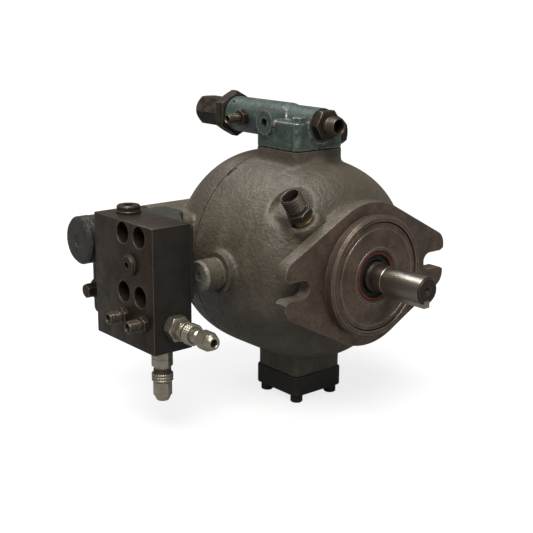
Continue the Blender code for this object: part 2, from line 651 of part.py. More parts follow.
def fitting(name, material, at, toward, flats, hexagon_span, thread, length, bore, stem):
    """A tube fitting: hexagon, threaded end with an open bore, and a stem inside its port."""
    start, end = hexagon_span
    root = max(0, 1 - start)
    body = hexagon(name, flats, start, end, at, toward, flats * 0.06)
    inner, depth = stem
    neck = thread - 1
    shank = turned("shank", [(0, -depth), (inner, -depth), (inner, root), (neck, root), (neck, end + 1.4),
                             (thread, end + 2.4), (thread, length), (0, length)], at, toward)
    hole = turned("bore", [(0, -depth - 5), (bore * 0.7, -depth - 5), (bore * 0.7, length - 12),
                           (bore, length - 10), (bore, length + 5), (0, length + 5)], at, toward, SMALL_ROUND)
    return add(cut(join(body, shank), hole), material)


def drain_fitting(material):
    """Case drain fitting on its boss behind the flange."""
    foot = Vector(DRAIN_FOOT) + Vector(DRAIN_AXIS) * (1 + GAP)
    fitting("drain_fitting", material, foot, DRAIN_AXIS, flats=18, hexagon_span=(5, 11), thread=7.9,
            length=26, bore=5.9, stem=(5.0, 7))


def bottom_cover(materials):
    """Blanking cover under the body, on whose screw heads the pump stands."""
    top = BASE_PAD - GAP
    outline = rounded_rectangle(BASE_SIZE, BASE_SIZE, BASE_CORNER)
    cover = plate("bottom_cover", outline, top - COVER_BOTTOM, (*BASE_CENTRE, (top + COVER_BOTTOM) / 2),
                  (0, 0, 1))
    holes = merged("cover_screw_holes", [
        rod("hole", 3.6, 0, 30, (*spot, BASE_PAD + 5), (0, 0, -1), SMALL_ROUND)
        for spot in base_screw_places()])
    add(cut(cover, holes), materials["black_iron"])
    head_top = COVER_BOTTOM - GAP
    for i, (x, y) in enumerate(base_screw_places()):
        depth = BASE_PAD - FOOT_LEVEL
        profile = [(0, -11), (3, -11), (3, BASE_PAD - head_top), (BASE_SCREW_HEAD, BASE_PAD - head_top),
                   (BASE_SCREW_HEAD, depth - 0.6), (BASE_SCREW_HEAD - 0.6, depth), (0, depth)]
        name = f"bottom_cover_screw_{i + 1}"
        screw = turned(name, profile, (x, y, BASE_PAD), (0, 0, -1), SMALL_ROUND)
        socket = rod("hex_socket", 2.9, depth - 4, depth + 5, (x, y, BASE_PAD), (0, 0, -1), 6)
        add(cut(screw, socket), materials["black_iron"])


def manifold(materials):
    """Manifold block with its counterbored screw holes, ports, plugs, fittings and quick couplers."""
    body = block("manifold_block", BLOCK_LOW, BLOCK_HIGH, 0.7, 1)
    left, front, bottom = BLOCK_LOW
    top = BLOCK_HIGH[2]
    counterbores = merged("counterbores", [
        rod("counterbore", COUNTERBORE, -5, COUNTERBORE_DEPTH, (left, *spot), (1, 0, 0))
        for spot in SCREW_GRID])
    holes = merged("screw_holes", [
        rod("hole", SCREW_HOLE, 10, 50, (left, y, z), (1, 0, 0), SMALL_ROUND) for y, z in SCREW_GRID])
    side = rod("side_port", 7, -5, 50, (left, *SIDE_PLUG), (1, 0, 0))
    upper = rod("top_port", 8, -5, 18, (*TOP_PLUG, top), (0, 0, -1))
    small = merged("fitting_ports", [
        rod("port", 4.4, -5, 12, (left, y, z), (1, 0, 0), SMALL_ROUND) for y, z in TUBE_FITTINGS.values()])
    couplers = merged("coupler_ports", [
        rod("port", 5.4, -5, 12, (FRONT_COUPLER[0], front, FRONT_COUPLER[1]), (0, 1, 0), SMALL_ROUND),
        rod("port", 5.4, -5, 12, (*BOTTOM_COUPLER, bottom), (0, 0, 1), SMALL_ROUND)])
    add(cut(body, counterbores, holes, side, upper, small, couplers), materials["oiled_steel"])
    socket_plug("manifold_side_plug", materials["dark_steel"], (left, *SIDE_PLUG), (-1, 0, 0),
                head=8.8, height=4, stem=(6.7, 12), socket=3.2)
    socket_plug("manifold_top_plug", materials["dark_steel"], (*TOP_PLUG, top), (0, 0, 1),
                head=10.2, height=6.5, stem=(7.7, 12), socket=4.6)
    for name, (y, z) in TUBE_FITTINGS.items():
        fitting(name, materials["dark_steel"], (left - GAP, y, z), (-1, 0, 0), flats=12,
                hexagon_span=(0, 4.5), thread=5.2, length=left - LEFT_END - GAP, bore=3.3, stem=(4, 8))
    x, z = FRONT_COUPLER
    quick_coupler("front_coupler", materials, (x, front - GAP, z), (0, -1, 0), base_flats=19, length=52.5)
    quick_coupler("bottom_coupler", materials, (*BOTTOM_COUPLER, bottom - GAP), (0, 0, -1),
                  base_flats=15, length=44)


def socket_plug(name, material, at, toward, head, height, stem, socket):
    """A flanged plug on a washer, with a hexagon socket."""
    inner, depth = stem
    profile = [(0, -depth), (inner, -depth), (inner, GAP), (head, GAP), (head, 2.1), (head - 0.6, 2.1),
               (head - 0.6, height - 0.8), (head - 1.3, height), (0, height)]
    plug = turned(name, profile, at, toward, 16)
    hole = rod("hex_socket", socket, height - 4.5, height + 5, at, toward, 6)
    return add(cut(plug, hole), material)


def quick_coupler(name, materials, at, toward, base_flats, length):
    """A quick coupler: hexagon, neck under a sliding sleeve, and a hexagonal nose with an open bore."""
    body = hexagon(name, base_flats, 0, 9, at, toward, 1.4)
    second = hexagon("coupler_hexagon", 15, 8, 18, at, toward, 1.2)
    neck = turned("coupler_neck", [(0, -9), (5, -9), (5, 1), (6.2, 2), (6.2, length - 19),
                                   (4.8, length - 17), (4.8, length - 8), (0, length - 8)], at, toward)
    nose = turned("coupler_nose", [(0, length - 16), (6.4, length - 16), (7.7, length - 14),
                                   (7.7, length - 4), (5.2, length), (0, length)], at, toward, 6)
    join(body, second, neck, nose)
    bore = rod("coupler_bore", 3.0, length - 14, length + 5, at, toward, SMALL_ROUND)
    add(cut(body, bore), materials["zinc"])
    ribs = []
    for i in range(3):
        start = 20.5 + 2.4 * i
        ribs += [(8.0, start), (8.8, start + 1.2)]
    sleeve = turned(f"{name}_sleeve", [(6.6, 20.5)] + ribs + [(8.0, 27.3), (6.6, 27.3)], at, toward, 16)
    add(sleeve, materials["zinc"])


def side_branch(materials):
    """Port adapter behind the manifold, and the capped inlet branch behind both."""
    low, high = ADAPTER_LEVELS
    adapter = plate("port_adapter", ADAPTER_OUTLINE, high - low, (0, 0, (low + high) / 2), (0, 0, 1))
    y, z = PRESSURE_PORT
    foot = block("adapter_foot", (ADAPTER_SIDE, 140, z - 14),
                 (ADAPTER_OUTLINE[4][0], y + 11, z + 11.5), 4, 1)
    join(adapter, foot)
    drillings = [drilling((-140, *SIDE_PLUG), (-121, *SIDE_PLUG), 6.5),
                 drilling((-122, *SIDE_PLUG), (-112, y, z), 5), drilling((-116, y, z), (-85, y, z), 6.3)]
    threads = merged("adapter_threads", [
        rod("thread", 4.3, -5, 9.5, (ADAPTER_SIDE, *spot), (1, 0, 0), THREAD_SIDES) for spot in SCREW_GRID])
    add(cut(adapter, *drillings, threads), materials["grey_paint"])
    y, z = INLET_AXIS
    tube = rod("inlet_adapter", INLET_RADIUS, 100 + GAP, -INLET_END - GAP, (0, y, z), (-1, 0, 0),
               MEDIUM_ROUND)
    web = block("inlet_web", (-151, y - 9, -48), (-134, y + 9, z), 5)
    boss = rod("plug_boss", 8.5, 136, 152.5, (0, y, PLUG_LEVEL), (-1, 0, 0))
    join(tube, web, boss)
    bore = rod("inlet_bore", INLET_BORE, 90, 170, (0, y, z), (-1, 0, 0), MEDIUM_ROUND)
    cross = rod("cross_port", 9, 0, 40, (-145, y, z - 9), (0, -1, 0))
    plug_hole = rod("plug_hole", 3.6, 140, 160, (0, y, PLUG_LEVEL), (-1, 0, 0), SMALL_ROUND)
    add(cut(tube, bore, cross, plug_hole), materials["grey_paint"])
    inner = INLET_BORE - GAP
    outer = INLET_RADIUS + 0.4
    cap = turned("inlet_cap", [(0, 142), (inner, 142), (inner, -INLET_END), (outer, -INLET_END), (outer, 164),
                               (17, 168), (0, 168)], (0, y, z), (-1, 0, 0), MEDIUM_ROUND)
    add(cap, materials["grey_paint"])
    plug = hexagon("branch_plug", 11, 152.8, 162, (0, y, PLUG_LEVEL), (-1, 0, 0))
    stem = rod("plug_stem", 3.3, 143, 155, (0, y, PLUG_LEVEL), (-1, 0, 0), SMALL_ROUND)
    add(join(plug, stem), materials["dark_steel"])


def cover_gasket(material):
    """Flat gasket between the two castings."""
    low = SEAM + GAP
    ring = turned("cover_gasket", [(CAVITY_RADIUS + 0.5, low), (DRUM_RADIUS - 0.8, low),
                                   (DRUM_RADIUS - 0.8, low + GASKET), (CAVITY_RADIUS + 0.5, low + GASKET)],
                  sides=LARGE_ROUND)
    holes = holes_along("gasket_holes", 4.5, 110, 130, cover_screw_places(), THREAD_SIDES)
    return add(cut(ring, holes), material)


def build_materials():
    """The pump's finishes."""
    return {
        "grey_paint": finish_material("grey_paint", (0.16, 0.15, 0.13), 0.0, 0.5),
        "machined_iron": finish_material("machined_iron", (0.2, 0.17, 0.15), 0.8, 0.5),
        "green_paint": finish_material("green_paint", (0.13, 0.24, 0.21), 0.0, 0.5),
        "oiled_steel": finish_material("oiled_steel", (0.09, 0.075, 0.065), 0.7, 0.5),
        "dark_steel": finish_material("dark_steel", (0.15, 0.13, 0.11), 0.9, 0.4),
        "rusty_steel": finish_material("rusty_steel", (0.13, 0.08, 0.05), 0.5, 0.7),
        "black_iron": finish_material("black_iron", (0.03, 0.03, 0.028), 0.2, 0.6),
        "zinc": finish_material("zinc", (0.6, 0.58, 0.52), 1.0, 0.3),
        "steel": finish_material("steel", (0.5, 0.49, 0.46), 1.0, 0.3),
        "bronze": finish_material("bronze", (0.45, 0.3, 0.14), 1.0, 0.4),
        "rubber": finish_material("rubber", (0.02, 0.02, 0.02), 0.0, 0.7),
    }


def build():
    """Make every piece of the pump."""
    materials = build_materials()
    shaft_pivot = bpy.data.objects.new("shaft_pivot", None)
    shaft_pivot.location = place(0, 0, 0)
    swash_pivot = bpy.data.objects.new("swash_pivot", None)
    swash_pivot.location = place(0, TILT_CENTRE, 0)
    for empty in (shaft_pivot, swash_pivot):
        PUMP.objects.link(empty)
    bpy.context.view_layer.update()
    pump_housing(materials["grey_paint"])
    rear_cover(materials["grey_paint"])
    cover_gasket(materials["rubber"])
    front_pieces(materials)
    shaft_group(materials, shaft_pivot)
    centres = swash_group(materials, swash_pivot)
    pistons(materials["steel"], centres, shaft_pivot)
    control_pieces(materials)
    valve_plate(materials["bronze"])
    compensator(materials)
    drain_fitting(materials["dark_steel"])
    bottom_cover(materials)
    manifold(materials)
    side_branch(materials)


for old in list(bpy.data.objects):
    bpy.data.objects.remove(old)
PUMP = collection("axial_piston_pump")
TOOLS = collection("tools")
build()
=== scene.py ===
"""Looks of the axial piston pump: finely shaped pieces, finishes, light and camera.

Places are written in the design frame, in millimetres: the drive shaft lies along Y and points to
-Y, the mounting flange's face is the plane y = 0, the shaft's axis is x = z = 0 and Z is up.
spot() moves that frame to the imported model's frame, with the drive shaft's CAD solid as its datum.
"""
import json
import math

import bmesh
import bpy
from mathutils import Matrix, Vector


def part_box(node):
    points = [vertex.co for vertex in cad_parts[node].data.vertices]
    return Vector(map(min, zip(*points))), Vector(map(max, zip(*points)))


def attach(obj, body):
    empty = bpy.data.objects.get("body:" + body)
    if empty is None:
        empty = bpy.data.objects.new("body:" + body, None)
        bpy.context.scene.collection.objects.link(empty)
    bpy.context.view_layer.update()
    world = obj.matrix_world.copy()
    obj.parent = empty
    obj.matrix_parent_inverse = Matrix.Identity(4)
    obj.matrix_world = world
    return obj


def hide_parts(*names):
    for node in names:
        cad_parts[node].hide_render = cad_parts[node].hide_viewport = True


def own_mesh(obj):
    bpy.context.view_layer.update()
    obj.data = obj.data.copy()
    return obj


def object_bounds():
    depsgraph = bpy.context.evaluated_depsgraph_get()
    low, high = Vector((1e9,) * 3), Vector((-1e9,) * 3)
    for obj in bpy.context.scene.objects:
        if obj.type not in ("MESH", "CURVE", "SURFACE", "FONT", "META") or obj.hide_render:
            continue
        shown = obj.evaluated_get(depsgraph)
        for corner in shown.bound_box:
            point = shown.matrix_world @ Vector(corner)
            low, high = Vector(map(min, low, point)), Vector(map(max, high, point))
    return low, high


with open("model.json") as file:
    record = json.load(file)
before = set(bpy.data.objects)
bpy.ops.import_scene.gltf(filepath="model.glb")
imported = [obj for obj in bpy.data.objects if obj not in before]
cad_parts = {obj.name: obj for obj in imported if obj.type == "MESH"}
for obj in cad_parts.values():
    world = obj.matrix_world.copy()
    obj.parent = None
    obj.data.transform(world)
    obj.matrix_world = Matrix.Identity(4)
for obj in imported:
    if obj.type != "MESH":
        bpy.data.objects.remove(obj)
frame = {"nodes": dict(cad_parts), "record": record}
CAD_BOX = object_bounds()

MM = 0.001
GAP = 0.3  # clearance that touching pieces keep

# Drive shaft
SHAFT_END = -63.0
SHAFT_RADIUS = 11.1
JOURNAL_RADIUS = 12.4

# Drum-shaped body: two castings that meet at SEAM
DRUM_RADIUS = 89.0
DRUM_MIDDLE = 111.0
FRONT_REACH = 98.6
REAR_REACH = 71.5
FRONT_ROUNDING = 3.6  # exponents of the rounded ends' superellipses
REAR_ROUNDING = 3.2
SEAM = 121.0
COVER_FACE = 122.4
CAVITY_RADIUS = 76.0
COVER_SCREW_CIRCLE = 81.5
COVER_SCREW_ANGLES = (75, 208, 280, 345)
POCKET_FLOOR = 139.0

# Mounting flange
PILOT_RADIUS = 50.8
PILOT_LENGTH = 9.7
FLANGE_THICKNESS = 12.0
FLANGE_RADIUS = 60.5
EAR_ANGLE = 62.0
EAR_CORNER = 13.0
EAR_END = 91.0
BOLT_OFFSET = 73.0
SLOT_RADIUS = 7.4
SLOT_MOUTH = 86.5
SLOT_FLARE = 1.8
NECK_RADIUS = 57.0
CARRIER_RADIUS = 45.2

# Pads, bosses and the swashplate's axis
PAD_CENTRE = (-1.5, 87.0)
PAD_SIZE = 54.0
PAD_CORNER = 5.0
PAD_TOP = 95.0
BASE_CENTRE = (0.0, 85.0)
BASE_SIZE = 55.0
BASE_CORNER = 5.0
BASE_PAD = -101.0
COVER_BOTTOM = -119.0
FOOT_LEVEL = -126.0
TILT_CENTRE = 82.0
BOSS_RADIUS = 17.5
BOSS_END = 94.5
CAP_END = 113.0
DRAIN_FOOT = Vector((-50.5, 25.0, 47.0))
DRAIN_AXIS = Vector((-0.565, 0.0, 0.825))
CAP_RADIUS = 13.2
BASE_SCREW_OFFSET = 20.0

# Compensator
VALVE_LEVEL = 115.6
VALVE_RADIUS = 15.8
VALVE_SLIM = 14.6  # the barrel's radius in front of its step
VALVE_FRONT = 60.0
VALVE_REAR = 172.0
LEDGE_HEIGHT = 23.7
SIDE_PORT = (0, 76, 107)
PILOT_PORT = (-16.1, 144, VALVE_LEVEL)
NUT_REAR = 184.0
SCREW_END = 221.0
CROSS_BOSS = (0, 99.5, 116.5)
CROSS_END = 30.5

# Manifold block and side branch
BLOCK_LOW = (-166.3, 68.0, -53.0)
BLOCK_HIGH = (-130.0, 152.5, 49.0)
SCREW_GRID = ((87.2, -9.2), (110.4, -9.2), (87.2, 39.0), (110.4, 39.0))
COUNTERBORE_DEPTH = 27.0
SIDE_PLUG = (99.0, 15.0)  # y and z on the block's left side
TOP_PLUG = (-146.0, 132.0)  # x and y on the block's top
FRONT_COUPLER = (-147.7, -31.9)  # x and z on the block's front
BOTTOM_COUPLER = (-148.5, 84.0)  # x and y under the block
TUBE_FITTINGS = {"tube_fitting_rear": (108.5, -28.5), "tube_fitting_front": (80.5, -29.0)}
ADAPTER_LEFT = -129.7
ADAPTER_RIGHT = -94.3
ADAPTER_OUTLINE = ((ADAPTER_LEFT, 79.0), (-119.5, 79.0), (-116.0, 98.0), (-103.0, 120.0),
                   (ADAPTER_RIGHT, 128.0), (ADAPTER_RIGHT, 155.5), (ADAPTER_LEFT, 155.5))
INLET = (178.0, 20.0)  # y and z of the inlet's axis
INLET_RADIUS = 20.4
INLET_BORE = 11.0
BRANCH_PLUG_LEVEL = -25.0

# Light and camera
AMBIENT = 0.20  # strength of the sky's light
KEY = 3.5  # strength of the key light
KEY_WAY = (0.42, 0.40, -1.0)
FLOOR_TONE = 0.22  # the floor's reflectance
FLOOR_GLOW = 0.8  # the floor's own light, as the camera sees it
FLOOR_BOUNCE = 0.06  # the floor's own light, as it falls on the pump
CAMERA_PLACE = (-593.5, -574.5, 223.1)
CAMERA_RIGHT = (0.7664, -0.6423, 0.0069)
CAMERA_BACK = (-0.6224, -0.7399, 0.2552)
LENS = 70.32

# Fineness of the meshes
ROUND = 72  # sides of a round piece
LARGE_ROUND = 144  # sides of the body's round pieces
CAST_VOXEL = 1.3  # grain of the remeshed castings
FAR = 140.0  # reach of the boxes that trim the castings
THREAD_DEPTH = 1.0

ALONG_X = Vector((1, 0, 0))
ALONG_Y = Vector((0, 1, 0))
ALONG_Z = Vector((0, 0, 1))

shaft_low, shaft_high = (Vector(corner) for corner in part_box("drive_shaft"))
DATUM = Vector(((shaft_low.x + shaft_high.x) / 2, shaft_low.y - SHAFT_END * MM,
                (shaft_low.z + shaft_high.z) / 2))


def spot(x, y, z):
    """A point of the design frame, in metres in the model's frame."""
    return DATUM + Vector((x, y, z)) * MM


# ---- mesh making

def add(name, data):
    """A new object in the scene."""
    obj = bpy.data.objects.new(name, data)
    bpy.context.scene.collection.objects.link(obj)
    return obj


def solid(name, work):
    """An object from a bmesh, which is freed."""
    mesh = bpy.data.meshes.new(name)
    work.to_mesh(mesh)
    work.free()
    return add(name, mesh)


def keep(name, work, at=(0, 0, 0), toward=ALONG_Z):
    """An object from a bmesh in millimetres, its Z laid along a direction from a point."""
    turn = ALONG_Z.rotation_difference(Vector(toward).normalized()).to_matrix().to_4x4()
    work.transform(Matrix.Translation(spot(*at)) @ Matrix.Scale(MM, 4) @ turn)
    bmesh.ops.recalc_face_normals(work, faces=work.faces)
    obj = solid(name, work)
    crease(obj)
    return obj


def crease(obj, angle=30):
    """Smooth shading that breaks at edges sharper than an angle."""
    obj.data.shade_smooth()
    obj.data.set_sharp_from_angle(angle=math.radians(angle))


def turned(name, profile, at=(0, 0, 0), toward=ALONG_Y, sides=ROUND, shape=None):
    """A lathe piece from (radius, height) points; shape may change the radius around the axis."""
    work = bmesh.new()
    rings = []
    for radius, height in profile:
        ring = []
        for i in range(sides if radius else 1):
            angle = math.tau * i / sides
            reach = shape(radius, height, angle) if shape and radius else radius
            ring.append(work.verts.new((reach * math.cos(angle), reach * math.sin(angle), height)))
        rings.append(ring)
    pairs = list(zip(rings, rings[1:]))
    if len(rings[0]) > 1 and len(rings[-1]) > 1:
        pairs.append((rings[-1], rings[0]))
    for low, high in pairs:
        for i in range(sides):
            corners = []
            for ring, k in ((low, i), (low, i + 1), (high, i + 1), (high, i)):
                vertex = ring[k % len(ring)]
                if vertex not in corners:
                    corners.append(vertex)
            if len(corners) > 2:
                work.faces.new(corners)
    return keep(name, work, at, toward)


def rod(name, radius, start, end, at=(0, 0, 0), toward=ALONG_Y, chamfer=0.0, sides=ROUND):
    """A round bar, its ends broken by a chamfer."""
    profile = [(0, start), (radius - chamfer, start), (radius, start + chamfer), (radius, end - chamfer),
               (radius - chamfer, end), (0, end)]
    if not chamfer:
        profile = [(0, start), (radius, start), (radius, end), (0, end)]
    return turned(name, profile, at, toward, sides)


def thread(name, radius, bore, start, end, pitch, at, toward):
    """A screw thread on a hollow core, fading out at both ends."""
    steps = int((end - start) / pitch * 10)
    profile = [(radius, start + (end - start) * i / steps) for i in range(steps + 1)]
    profile += [(bore + 0.6, end), (bore, end - 0.6), (bore, start)]

    def helix(reach, height, angle):
        if reach < radius:
            return reach
        fade = min(1.0, (height - start) / pitch, (end - height) / pitch)
        wave = 0.5 + 0.5 * math.cos(math.tau * height / pitch - angle)
        return radius - THREAD_DEPTH * (1 - fade * wave)

    return turned(name, profile, at, toward, ROUND, helix)


def hexagon(name, flats, start, end, at, toward, bore=0.0, slope=0.58, turn=0.0):
    """A hexagonal piece with its corners turned down at both ends, as on a nut."""
    half = flats / 2
    corner = half / math.cos(math.pi / 6)
    depth = (corner - half * 0.97) * slope
    near = [depth * i / 5 for i in range(6)]
    heights = [start + d for d in near] + [end - d for d in reversed(near)]
    profile = [(bore, start)] + [(corner, height) for height in heights] + [(bore, end)]

    def limits(reach, height, angle):
        if reach < corner:
            return reach
        flat = half / math.cos((angle + turn) % (math.pi / 3) - math.pi / 6)
        room = min(height - start, end - height)
        return min(flat, half * 0.97 + room / slope)

    return turned(name, profile, at, toward, ROUND, limits)


def slab(name, low, high, bevel=0.0, segments=3):
    """A box between two corners with rounded edges."""
    work = bmesh.new()
    bmesh.ops.create_cube(work, size=1.0)
    bmesh.ops.scale(work, vec=Vector(high) - Vector(low), verts=work.verts)
    bmesh.ops.translate(work, vec=(Vector(high) + Vector(low)) / 2, verts=work.verts)
    if bevel:
        bmesh.ops.bevel(work, geom=work.edges[:], offset=bevel, segments=segments, profile=0.5,
                        affect="EDGES")
    return keep(name, work)


def arc(centre, radius, start, end, steps):
    """Points on an arc, angles in degrees."""
    angles = [math.radians(start + (end - start) * i / steps) for i in range(steps + 1)]
    return [(centre[0] + radius * math.cos(a), centre[1] + radius * math.sin(a)) for a in angles]


def rounded_square(size, corner):
    """Outline of a square with round corners, about its middle."""
    a = size / 2 - corner
    outline = []
    for centre, start in (((a, a), 0), ((-a, a), 90), ((-a, -a), 180), ((a, -a), 270)):
        outline += arc(centre, corner, start, start + 90, 12)
    return outline


def plate(name, outline, thickness, at, toward, bevel=0.0):
    """A flat outline, thickened from a point along a direction, with rounded rims."""
    work = bmesh.new()
    face = work.faces.new([work.verts.new((x, y, 0)) for x, y in outline])
    made = bmesh.ops.extrude_face_region(work, geom=[face])
    lifted = [v for v in made["geom"] if isinstance(v, bmesh.types.BMVert)]
    bmesh.ops.translate(work, vec=(0, 0, thickness), verts=lifted)
    if bevel:
        rims = [e for e in work.edges if abs(e.verts[0].co.z - e.verts[1].co.z) < thickness / 2]
        bmesh.ops.bevel(work, geom=rims, offset=bevel, segments=3, profile=0.5, affect="EDGES")
    return keep(name, work, at, toward)


def unite(name, parts, angle=30):
    """One object out of several, smooth where its faces meet at less than an angle."""
    work = bmesh.new()
    for part in parts:
        work.from_mesh(part.data)
        bpy.data.objects.remove(part)
    obj = solid(name, work)
    crease(obj, angle)
    return obj


def settle(obj):
    """Make the object's modifiers real."""
    graph = bpy.context.evaluated_depsgraph_get()
    obj.data = bpy.data.meshes.new_from_object(obj.evaluated_get(graph))
    obj.data.materials.clear()
    obj.modifiers.clear()
    crease(obj)
    return obj


def cast(name, shapes, voxel=CAST_VOXEL, rounds=8):
    """Shapes melted into one casting with softly rounded inside and outside corners."""
    obj = unite(name, shapes)
    melt = obj.modifiers.new("melt", "REMESH")
    melt.mode = "VOXEL"
    melt.voxel_size = voxel * MM
    melt.adaptivity = 0.0
    soften = obj.modifiers.new("soften", "SMOOTH")
    soften.factor = 0.5
    soften.iterations = rounds
    return settle(obj)


def carve(obj, *tools):
    """Cut tools out of a piece."""
    for tool in tools:
        change = obj.modifiers.new(tool.name, "BOOLEAN")
        change.operation = "DIFFERENCE"
        change.solver = "MANIFOLD"
        change.object = tool
    settle(obj)
    for tool in tools:
        bpy.data.objects.remove(tool)
    return obj


def coil(name, radius, wire, start, end, turns, at=(0, 0, 0), toward=ALONG_Y):
    """A helical spring with closed ends."""
    work = bmesh.new()
    around = 10
    steps = turns * 28
    rings = []
    for i in range(steps + 1):
        share = i / steps
        angle = math.tau * turns * share
        rise = share * share * (3 - 2 * share)
        height = start + wire + (end - start - 2 * wire) * (0.25 * rise + 0.75 * share)
        ring = []
        for k in range(around):
            turn = math.tau * k / around
            reach = radius + wire * math.cos(turn)
            ring.append(work.verts.new((reach * math.cos(angle), reach * math.sin(angle),
                                        height + wire * math.sin(turn))))
        rings.append(ring)
    for low, high in zip(rings, rings[1:]):
        for k in range(around):
            work.faces.new((low[k], low[k - 1], high[k - 1], high[k]))
    work.faces.new(rings[0])
    work.faces.new(list(reversed(rings[-1])))
    return keep(name, work, at, toward)


# ---- finishes

class Finish:
    """A Principled material built up in layers, each laid over the last by a mask."""

    def __init__(self, name, colour, metallic, roughness):
        self.material = bpy.data.materials.new(name)
        self.material.use_nodes = True
        self.tree = self.material.node_tree
        self.shader = self.tree.nodes["Principled BSDF"]
        self.place = self.node("ShaderNodeTexCoord").outputs["Object"]
        self.values = {"Base Color": (*colour, 1.0), "Metallic": metallic, "Roughness": roughness}
        self.height = None

    def node(self, kind):
        """A new node in the material."""
        return self.tree.nodes.new(kind)

    def give(self, value, socket):
        """Feed a socket with a number, a colour or another socket."""
        if isinstance(value, bpy.types.NodeSocket):
            self.tree.links.new(value, socket)
        else:
            socket.default_value = value

    def vector(self, operation, first, second=None):
        """A vector operation on sockets or plain vectors, as a node."""
        node = self.node("ShaderNodeVectorMath")
        node.operation = operation
        self.give(first, node.inputs[0])
        if second is not None:
            self.give(second, node.inputs[1])
        return node

    def noise(self, size, low=0.35, high=0.65, detail=3.0, stretch=(1, 1, 1)):
        """A mask of patches about size millimetres across, from 0 at low to 1 at high."""
        scaled = self.vector("MULTIPLY", self.place, [s / (size * MM) for s in stretch])
        pattern = self.node("ShaderNodeTexNoise")
        pattern.inputs["Scale"].default_value = 1.0
        pattern.inputs["Detail"].default_value = detail
        self.give(scaled.outputs[0], pattern.inputs["Vector"])
        return self.ramp(pattern.outputs["Fac"], low, high)

    def ramp(self, value, low, high):
        """A value stretched so that low gives 0 and high gives 1."""
        stretch = self.node("ShaderNodeMapRange")
        self.give(value, stretch.inputs["Value"])
        stretch.inputs["From Min"].default_value = low
        stretch.inputs["From Max"].default_value = high
        return stretch.outputs["Result"]

    def rings(self, pitch):
        """A mask of fine turning marks about the drive shaft's axis."""
        away = self.vector("SUBTRACT", self.place, DATUM)
        flat = self.vector("MULTIPLY", away.outputs[0], [(1 - a) / (pitch * MM) for a in ALONG_Y])
        reach = self.vector("LENGTH", flat.outputs[0])
        pattern = self.node("ShaderNodeTexNoise")
        pattern.noise_dimensions = "1D"
        pattern.inputs["Scale"].default_value = 1.0
        self.give(reach.outputs["Value"], pattern.inputs["W"])
        return self.ramp(pattern.outputs["Fac"], 0.3, 0.7)

    def edges(self, radius, low=0.02, high=0.25):
        """A mask of the piece's edges, within a radius in millimetres."""
        rounded = self.node("ShaderNodeBevel")
        rounded.samples = 4
        rounded.inputs["Radius"].default_value = radius * MM
        true = self.node("ShaderNodeNewGeometry")
        apart = self.vector("DISTANCE", rounded.outputs["Normal"], true.outputs["Normal"])
        return self.ramp(apart.outputs["Value"], low, high)

    def shade_in_hollows(self, distance, low=0.75, high=0.35):
        """A mask of the shade in corners and hollows, from ambient occlusion, within a distance in
        millimetres; the finishes that darken by it paint shade there.
        """
        shade = self.node("ShaderNodeAmbientOcclusion")
        shade.samples = 4
        shade.inputs["Distance"].default_value = distance * MM
        return self.ramp(shade.outputs["AO"], low, high)

    def both(self, first, second, how="MULTIPLY"):
        """Two masks in one."""
        node = self.node("ShaderNodeMath")
        node.operation = how
        node.use_clamp = True
        self.give(first, node.inputs[0])
        self.give(second, node.inputs[1])
        return node.outputs["Value"]

    def layer(self, mask, colour=None, metallic=None, roughness=None, weight=1.0):
        """Lay a colour, a metallic value or a roughness over what is there."""
        if weight < 1:
            mask = self.both(mask, weight)
        for key, value in (("Base Color", colour), ("Metallic", metallic), ("Roughness", roughness)):
            if value is None:
                continue
            mix = self.node("ShaderNodeMix")
            mix.data_type = "RGBA" if key == "Base Color" else "FLOAT"
            a, b, result = (6, 7, 2) if key == "Base Color" else (2, 3, 0)
            self.give(mask, mix.inputs[0])
            self.give(self.values[key], mix.inputs[a])
            self.give((*value, 1.0) if key == "Base Color" else value, mix.inputs[b])
            self.values[key] = mix.outputs[result]

    def relief(self, mask, depth):
        """Raise the surface by a mask, by depth in millimetres."""
        bump = self.node("ShaderNodeBump")
        bump.inputs["Strength"].default_value = 1.0
        bump.inputs["Distance"].default_value = depth * MM
        self.give(mask, bump.inputs["Height"])
        if self.height:
            self.give(self.height, bump.inputs["Normal"])
        self.height = bump.outputs["Normal"]

    def done(self, **sockets):
        """The finished material, with any other shader sockets set as given."""
        for key, value in self.values.items():
            self.give(value, self.shader.inputs[key])
        if self.height:
            self.give(self.height, self.shader.inputs["Normal"])
        for key, value in sockets.items():
            self.shader.inputs[key.replace("_", " ")].default_value = value
        return self.material


def cast_paint(name, colour, dark, light, worn, wear):
    """Satin paint over a sand casting, with dust, drips of tone, rubbed edges and painted shade in its
    hollows.
    """
    f = Finish(name, colour, 0.0, 0.42)
    f.layer(f.noise(45, 0.35, 0.7), dark, weight=0.75)
    f.layer(f.noise(16, 0.5, 0.75, stretch=(1, 1, 0.5)), light, weight=0.6)
    f.layer(f.noise(2.2, 0.58, 0.72), dark, weight=0.5)
    f.layer(f.noise(7, 0.4, 0.7), roughness=0.58)
    # painted shade: the paint darkened in corners and hollows by ambient occlusion
    f.layer(f.shade_in_hollows(9), [c * 0.35 for c in dark], roughness=0.75, weight=0.7)
    f.layer(f.both(f.edges(0.9), f.noise(4, 0.45, 0.6)), worn, metallic=0.7, roughness=0.4, weight=wear)
    f.relief(f.noise(2.4, 0.2, 0.8, 3), 0.42)
    f.relief(f.noise(5, 0.2, 0.8), 0.45)
    return f.done()


